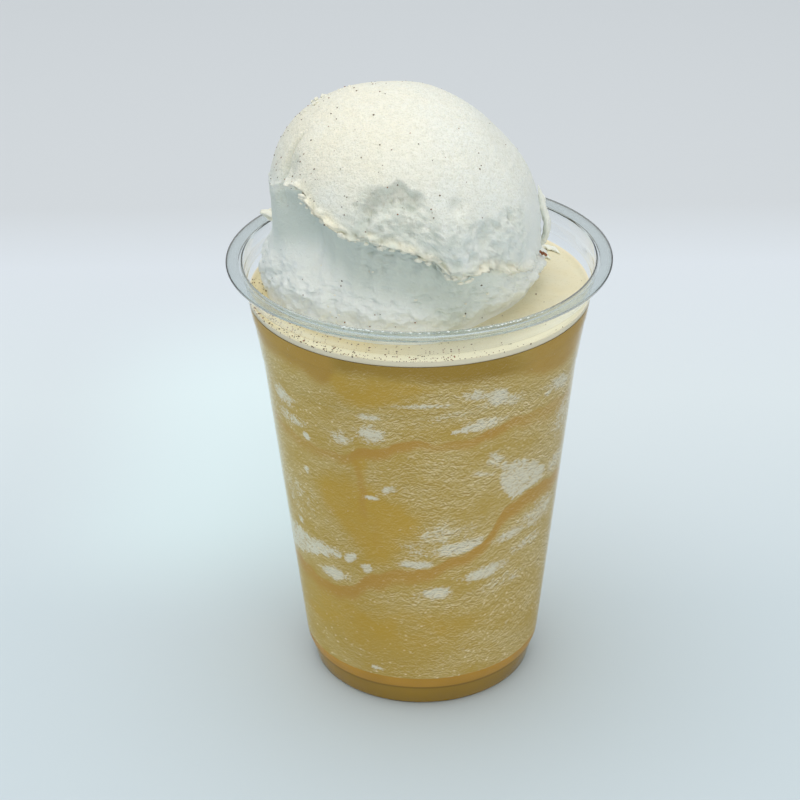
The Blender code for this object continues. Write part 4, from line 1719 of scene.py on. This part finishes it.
@dataclass
class CreamStrands:
    """The wisp at the cream's right and the web on the froth beside it."""

    finish: bpy.types.Material
    strands: tuple[Strand, ...] = (
        Strand(((29.8, 1.0, 136.5), (30.8, 0.6, 133.0), (31.5, 0.4, 130.0), (32.2, 0.6, 127.6),
                (32.4, 0.8, 125.0), (31.8, 1.4, 122.0), (31.0, 1.4, 119.5)),
               (0.4, 0.8, 1.3, 2.3, 2.7, 1.8, 0.5), 0.9),
        Strand(((30.0, 24.5, 110.2), (33.0, 23.4, 109.5), (35.3, 22.2, 109.4), (37.2, 19.0, 109.2)),
               (0.8, 1.1, 0.9, 0.3), 0.45),
        Strand(((31.0, 21.5, 110.4), (33.0, 18.6, 109.5), (34.4, 15.5, 109.3)), (0.7, 0.8, 0.3), 0.4))
    looks: tuple = (("warm", 0.3), ("lip", 0.1), ("shade", 0.0), ("dry", 0.2))
    lumps: Lumps = Lumps(2.0, 0.3, 3)
    middle: tuple[float, float, float] = (*CREAM_AXIS, 127.0)
    flat_under: float = 112.0
    steps: int = 60
    sides: int = 14

    def build(self) -> bpy.types.Object:
        """Make the strands as one mesh.

        Returns:
            The piece.
        """
        shape = bmesh.new()
        for strand in self.strands:
            part = self.tube(strand)
            shape.from_mesh(part)
            bpy.data.meshes.remove(part)
        mesh = mesh_of(shape, "cream_strands")
        note_even(mesh, self.looks)
        return place_piece("cream_strands", mesh, self.finish)

    def tube(self, strand: Strand) -> bpy.types.Mesh:
        """Make one strand.

        Args:
            strand: Its line and sizes.

        Returns:
            A closed mesh.
        """
        marks = np.linspace(0.0, 1.0, len(strand.places))
        share = np.linspace(0.0, 1.0, self.steps)
        line = np.stack([np.interp(share, marks, column) for column in np.array(strand.places).T], axis=1)
        width = np.interp(share, marks, strand.half_widths) * np.sqrt(np.sin(np.pi * share) + 0.0001)
        along = np.gradient(line, axis=0)
        along /= np.linalg.norm(along, axis=1)[:, None]
        out = np.where(line[:, 2:] < self.flat_under, np.array([0.0, 0.0, 1.0]), line - self.middle)
        out -= along * np.sum(out * along, axis=1)[:, None]
        out /= np.linalg.norm(out, axis=1)[:, None]
        across = np.cross(along, out)
        turn = np.arange(self.sides) * math.tau / self.sides
        thick = strand.half_thickness * np.minimum(1.0, width / 0.6)
        rings = (line[:, None] + across[:, None] * (width[:, None] * np.cos(turn))[..., None]
                 + out[:, None] * (thick[:, None] * np.sin(turn))[..., None])
        flat = rings.reshape(-1, 3)
        flat += (self.lumps.field(flat) * np.repeat(np.minimum(width, 1.0), self.sides))[:, None]
        return grid_mesh("strand", rings)


@dataclass
class Froth:
    """The pale layer on the drink, which climbs the wall and goes round the cream."""

    outline: CupOutline
    cream: WhippedCream
    reach: float = 0.1
    underside: float = SLUSH_TOP
    top: float = FROTH_TOP
    climb: float = 0.8
    climb_width: float = 2.2
    inward: float = 1.0
    swell: Lumps = Lumps(5.0, 0.16, 3)
    bubbles: Lumps = Lumps(1.2, 0.05, 2, 4.0)
    columns: int = 480
    rows: int = 30

    def build(self) -> bpy.types.Object:
        """Make the froth, which stands for the solid one.

        Returns:
            The piece.
        """
        azimuth = np.arange(self.columns) * 360.0 / self.columns
        turn = np.radians(azimuth)
        foot = self.cream.foot_reach(azimuth) - self.inward
        axis = self.cream.axis
        inner = np.stack([axis[0] + foot * np.cos(turn), axis[1] + foot * np.sin(turn)], axis=1)
        edge = self.top + self.climb
        wall = float(self.outline.filled_radius(np.array([edge]), self.reach)[0])
        low_wall = float(self.outline.filled_radius(np.array([self.underside]), self.reach)[0])
        bearing = np.arctan2(inner[:, 1], inner[:, 0])
        ring = np.stack([np.cos(bearing), np.sin(bearing)], axis=1)
        rows = []
        for share in np.linspace(0.0, 1.0, self.rows) ** 0.8:
            flat = inner + (ring * wall - inner) * share
            away = wall - np.hypot(flat[:, 0], flat[:, 1])
            level = self.top + self.climb * (1.0 - eased(away / self.climb_width)) ** 1.5
            rows.append(np.column_stack([flat, level]))
        top = np.array(rows)
        places = top.reshape(-1, 3)
        calm = 1.0 - np.exp(-((wall - np.hypot(places[:, 0], places[:, 1])) / 0.6) ** 2)
        places[:, 2] += (self.swell.field(places) + self.bubbles.field(places)) * calm
        bottom = [np.column_stack([ring * low_wall, np.full(self.columns, self.underside)]),
                  np.column_stack([inner, np.full(self.columns, self.underside)])]
        mesh = grid_mesh("froth_layer", np.concatenate([top, np.array(bottom)]), wrap_rows=True)
        points = mesh_points(mesh)
        around_cup = azimuth_of(points)
        left = near_azimuth(around_cup, 215.0, 20.0, 70.0)
        away = wall - np.hypot(points[:, 0], points[:, 1])
        note(mesh, "yellow", 0.12 + 0.73 * left)
        note(mesh, "edge", 1.0 - rise(away, 0.1, 0.8))
        # front marks the froth near the wall at the front, which is painted lighter as painted light.
        front = near_azimuth(around_cup, 275.0, 45.0, 85.0)
        note(mesh, "front", front * (1.0 - rise(away, 3.5, 8.0)))
        piece = place_piece("froth_layer", mesh, FrothFinish().make())
        mesh.set_sharp_from_angle(angle=math.radians(50.0))
        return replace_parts(piece, "froth")


@dataclass
class SpiceDust:
    """Grains of ground spice on the cream and the froth."""

    cream: bpy.types.Object
    froth: bpy.types.Object
    cream_axis: float = CREAM_AXIS[0]
    on_cream: int = 290
    on_froth: int = 560
    least: float = 0.000035
    cream_low: float = 110.0
    froth_low: float = 108.6
    size: tuple[float, float] = (0.08, 0.18)
    stain: tuple[float, float, float] = (31.6, 0.2, 118.0)
    stain_count: int = 7
    stain_size: float = 0.42
    stain_reach: float = 0.4
    seed: int = 3

    def spots(self, piece: bpy.types.Object, count: int, draw: np.random.Generator,
              weight: np.ndarray) -> np.ndarray:
        """Draw points of a piece, each as likely as its weight says.

        Args:
            piece: The piece that the grains lie on.
            count: How many are drawn.
            draw: The random numbers.
            weight: One weight for each point.

        Returns:
            The points in millimetres.
        """
        points = mesh_points(piece.data)
        return points[draw.choice(len(points), count, replace=False, p=weight / weight.sum())]

    def build(self) -> bpy.types.Object:
        """Make all the grains as one mesh.

        Returns:
            The piece.
        """
        draw = np.random.default_rng(self.seed)
        cream_points = mesh_points(self.cream.data)
        area = np.hypot(cream_points[:, 0] - self.cream_axis, cream_points[:, 1])
        level = cream_points[:, 2]
        high = rise(level, 112.0, 124.0)
        left = 0.3 + rise(-cream_points[:, 0], -20.0, 25.0)
        low_front = 0.35 + 1.1 * near_azimuth(azimuth_of(cream_points), 245.0, 20.0, 45.0)
        open_side = np.where(high > 0.5, rise(level, 134.0, 144.0) + 0.08, low_front)
        open_side = np.where(level < self.cream_low, 0.0, open_side)
        spots = [self.spots(self.cream, self.on_cream, draw, area * left * open_side + self.least)]
        froth_points = mesh_points(self.froth.data)
        azimuth = azimuth_of(froth_points)
        dense = 0.06 + near_azimuth(azimuth, 240.0, 40.0, 75.0)
        dense *= 1.0 + 2.5 * rise(np.hypot(froth_points[:, 0], froth_points[:, 1]), 35.0, 40.0)
        dense = np.where(froth_points[:, 2] > self.froth_low, dense, 0.0)
        spots.append(self.spots(self.froth, self.on_froth, draw, dense))
        spots.append(np.array(self.stain) + draw.normal(0.0, self.stain_reach, (self.stain_count, 3)))
        places = np.concatenate(spots)
        sizes = draw.uniform(*self.size, len(places))
        sizes *= 1.0 + np.minimum(draw.exponential(0.3, len(places)), 0.6)
        redness = draw.uniform(0.0, 1.0, len(places)) ** 2
        sizes[-self.stain_count:] = self.stain_size
        redness[-self.stain_count:] = 1.0
        shape = bmesh.new()
        tones = []
        for spot, size, red in zip(places, sizes, redness):
            stretch = Matrix.Diagonal((*(size * draw.uniform(0.7, 1.2, 3) * MM), 1.0))
            turn = Matrix.Rotation(draw.uniform(0.0, math.tau), 4, "Z")
            made = bmesh.ops.create_icosphere(shape, subdivisions=1, radius=1.0,
                                              matrix=Matrix.Translation(Vector(spot) * MM) @ turn @ stretch)
            tones += [red] * len(made["verts"])
        mesh = mesh_of(shape, "spice")
        note(mesh, "tone", np.array(tones))
        return place_piece("spice", mesh, SpiceFinish().make())


# The studio


@dataclass(frozen=True)
class Studio:
    """The pale sweep, the soft lights and the camera where the photograph was taken from."""

    lens: float = 103.5
    sensor: float = 36.0
    stand: tuple[float, float, float] = (0.0, -0.53177, 0.35998)
    pitch: float = 0.490
    yaw: float = -0.010
    roll: float = -0.013
    floor_size: float = 8.0
    dome: Colour = (0.95, 0.97, 0.95, 1.0)
    dome_strength: float = 0.62
    dome_low: float = 0.4
    dome_full: float = 0.55
    aim: tuple[float, float, float] = (0.0, 0.0, 0.1)
    box_power: float = 7.1
    box_size: float = 1.3
    box_stand: tuple[float, float, float] = (-0.08, 0.1, 1.1)
    box_colour: tuple[float, float, float] = (1.0, 0.98, 0.93)
    fill_power: float = 4.4
    fill_size: float = 1.0
    fill_stand: tuple[float, float, float] = (0.45, -1.3, 0.75)
    fill_colour: tuple[float, float, float] = (1.0, 0.91, 0.78)

    def build(self) -> None:
        """Make the floor, the lights and the camera."""
        bpy.context.scene.view_settings.view_transform = "Standard"
        self.add_floor()
        self.add_dome()
        self.add_light("soft_box", self.box_stand, self.box_size, self.box_power, self.box_colour)
        self.add_light("front_fill", self.fill_stand, self.fill_size, self.fill_power, self.fill_colour)
        self.add_camera()

    def add_floor(self) -> None:
        """Make the floor, level with the cup's foot."""
        shape = bmesh.new()
        bmesh.ops.create_grid(shape, x_segments=4, y_segments=4, size=self.floor_size / 2)
        mesh = mesh_of(shape, "floor")
        mesh.materials.append(FloorFinish().make())
        floor = bpy.data.objects.new("floor", mesh)
        bpy.context.scene.collection.objects.link(floor)
        floor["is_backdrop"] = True

    def add_dome(self) -> None:
        """Light the scene from all sides, less from near the horizon."""
        graph = Graph(bpy.data.worlds.new("dome"))
        _, _, up = graph.parts(graph.add("ShaderNodeTexCoord", output="Generated"))
        low = self.dome_strength * self.dome_low
        strength = graph.add("ShaderNodeMapRange", {"interpolation_type": "SMOOTHSTEP"},
                             {0: up, 1: 0.0, 2: self.dome_full, 3: low, 4: self.dome_strength})
        light = graph.add("ShaderNodeBackground", {}, {"Color": self.dome, "Strength": strength})
        bpy.context.scene.world = graph.finish(light, "ShaderNodeOutputWorld")

    def add_light(self, name: str, stand: Sequence[float], size: float, power: float,
                  colour: Sequence[float]) -> None:
        """Set a soft square light up, turned to the cup.

        Args:
            name: The light's name.
            stand: Where it stands, in metres.
            size: The length of its sides, in metres.
            power: Its power in watts.
            colour: Its colour.
        """
        light = bpy.data.lights.new(name, "AREA")
        light.shape = "SQUARE"
        light.size = size
        light.energy = power
        light.color = colour
        lamp = bpy.data.objects.new(name, light)
        lamp.location = stand
        aim = Vector(self.aim) - Vector(stand)
        lamp.rotation_euler = aim.to_track_quat("-Z", "Y").to_euler()
        bpy.context.scene.collection.objects.link(lamp)

    def add_camera(self) -> None:
        """Set the camera up at the photograph's angle."""
        ahead = Vector((math.sin(self.yaw), math.cos(self.yaw), 0.0))
        level = Vector((math.cos(self.yaw), -math.sin(self.yaw), 0.0))
        forward = ahead * math.cos(self.pitch) - Vector((0.0, 0.0, math.sin(self.pitch)))
        upright = level.cross(forward)
        side = level * math.cos(self.roll) + upright * math.sin(self.roll)
        up = upright * math.cos(self.roll) - level * math.sin(self.roll)
        lens = bpy.data.cameras.new("camera")
        lens.sensor_width = self.sensor
        lens.lens = self.lens
        lens.clip_start = 0.01
        camera = bpy.data.objects.new("camera", lens)
        turn = Matrix((side, up, -forward)).transposed().to_4x4()
        camera.matrix_world = Matrix.Translation(self.stand) @ turn
        bpy.context.scene.collection.objects.link(camera)
        bpy.context.scene.camera = camera


def main() -> None:
    """Build the cup and what fills it, then the studio round it."""
    logging.basicConfig(level=logging.INFO, format="%(name)s %(relativeCreated)d ms %(message)s")
    outline = CupOutline()
    ClearCup(outline).build()
    LipBeads(outline).build()
    FrozenChai(outline).build()
    SettledChai(outline).build()
    whipped = WhippedCream(outline)
    cream = whipped.build()
    soft = cream.data.materials[0]
    CreamCrumbs(whipped, soft).build()
    CreamStrands(soft).build()
    froth = Froth(outline, whipped).build()
    SpiceDust(cream, froth).build()
    Studio().build()
    boxes = {"cad": CAD_BOX, "visual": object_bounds()}
    boxes = {name: [list(corner) for corner in box] for name, box in boxes.items()}


if __name__ == "__main__":
    main()
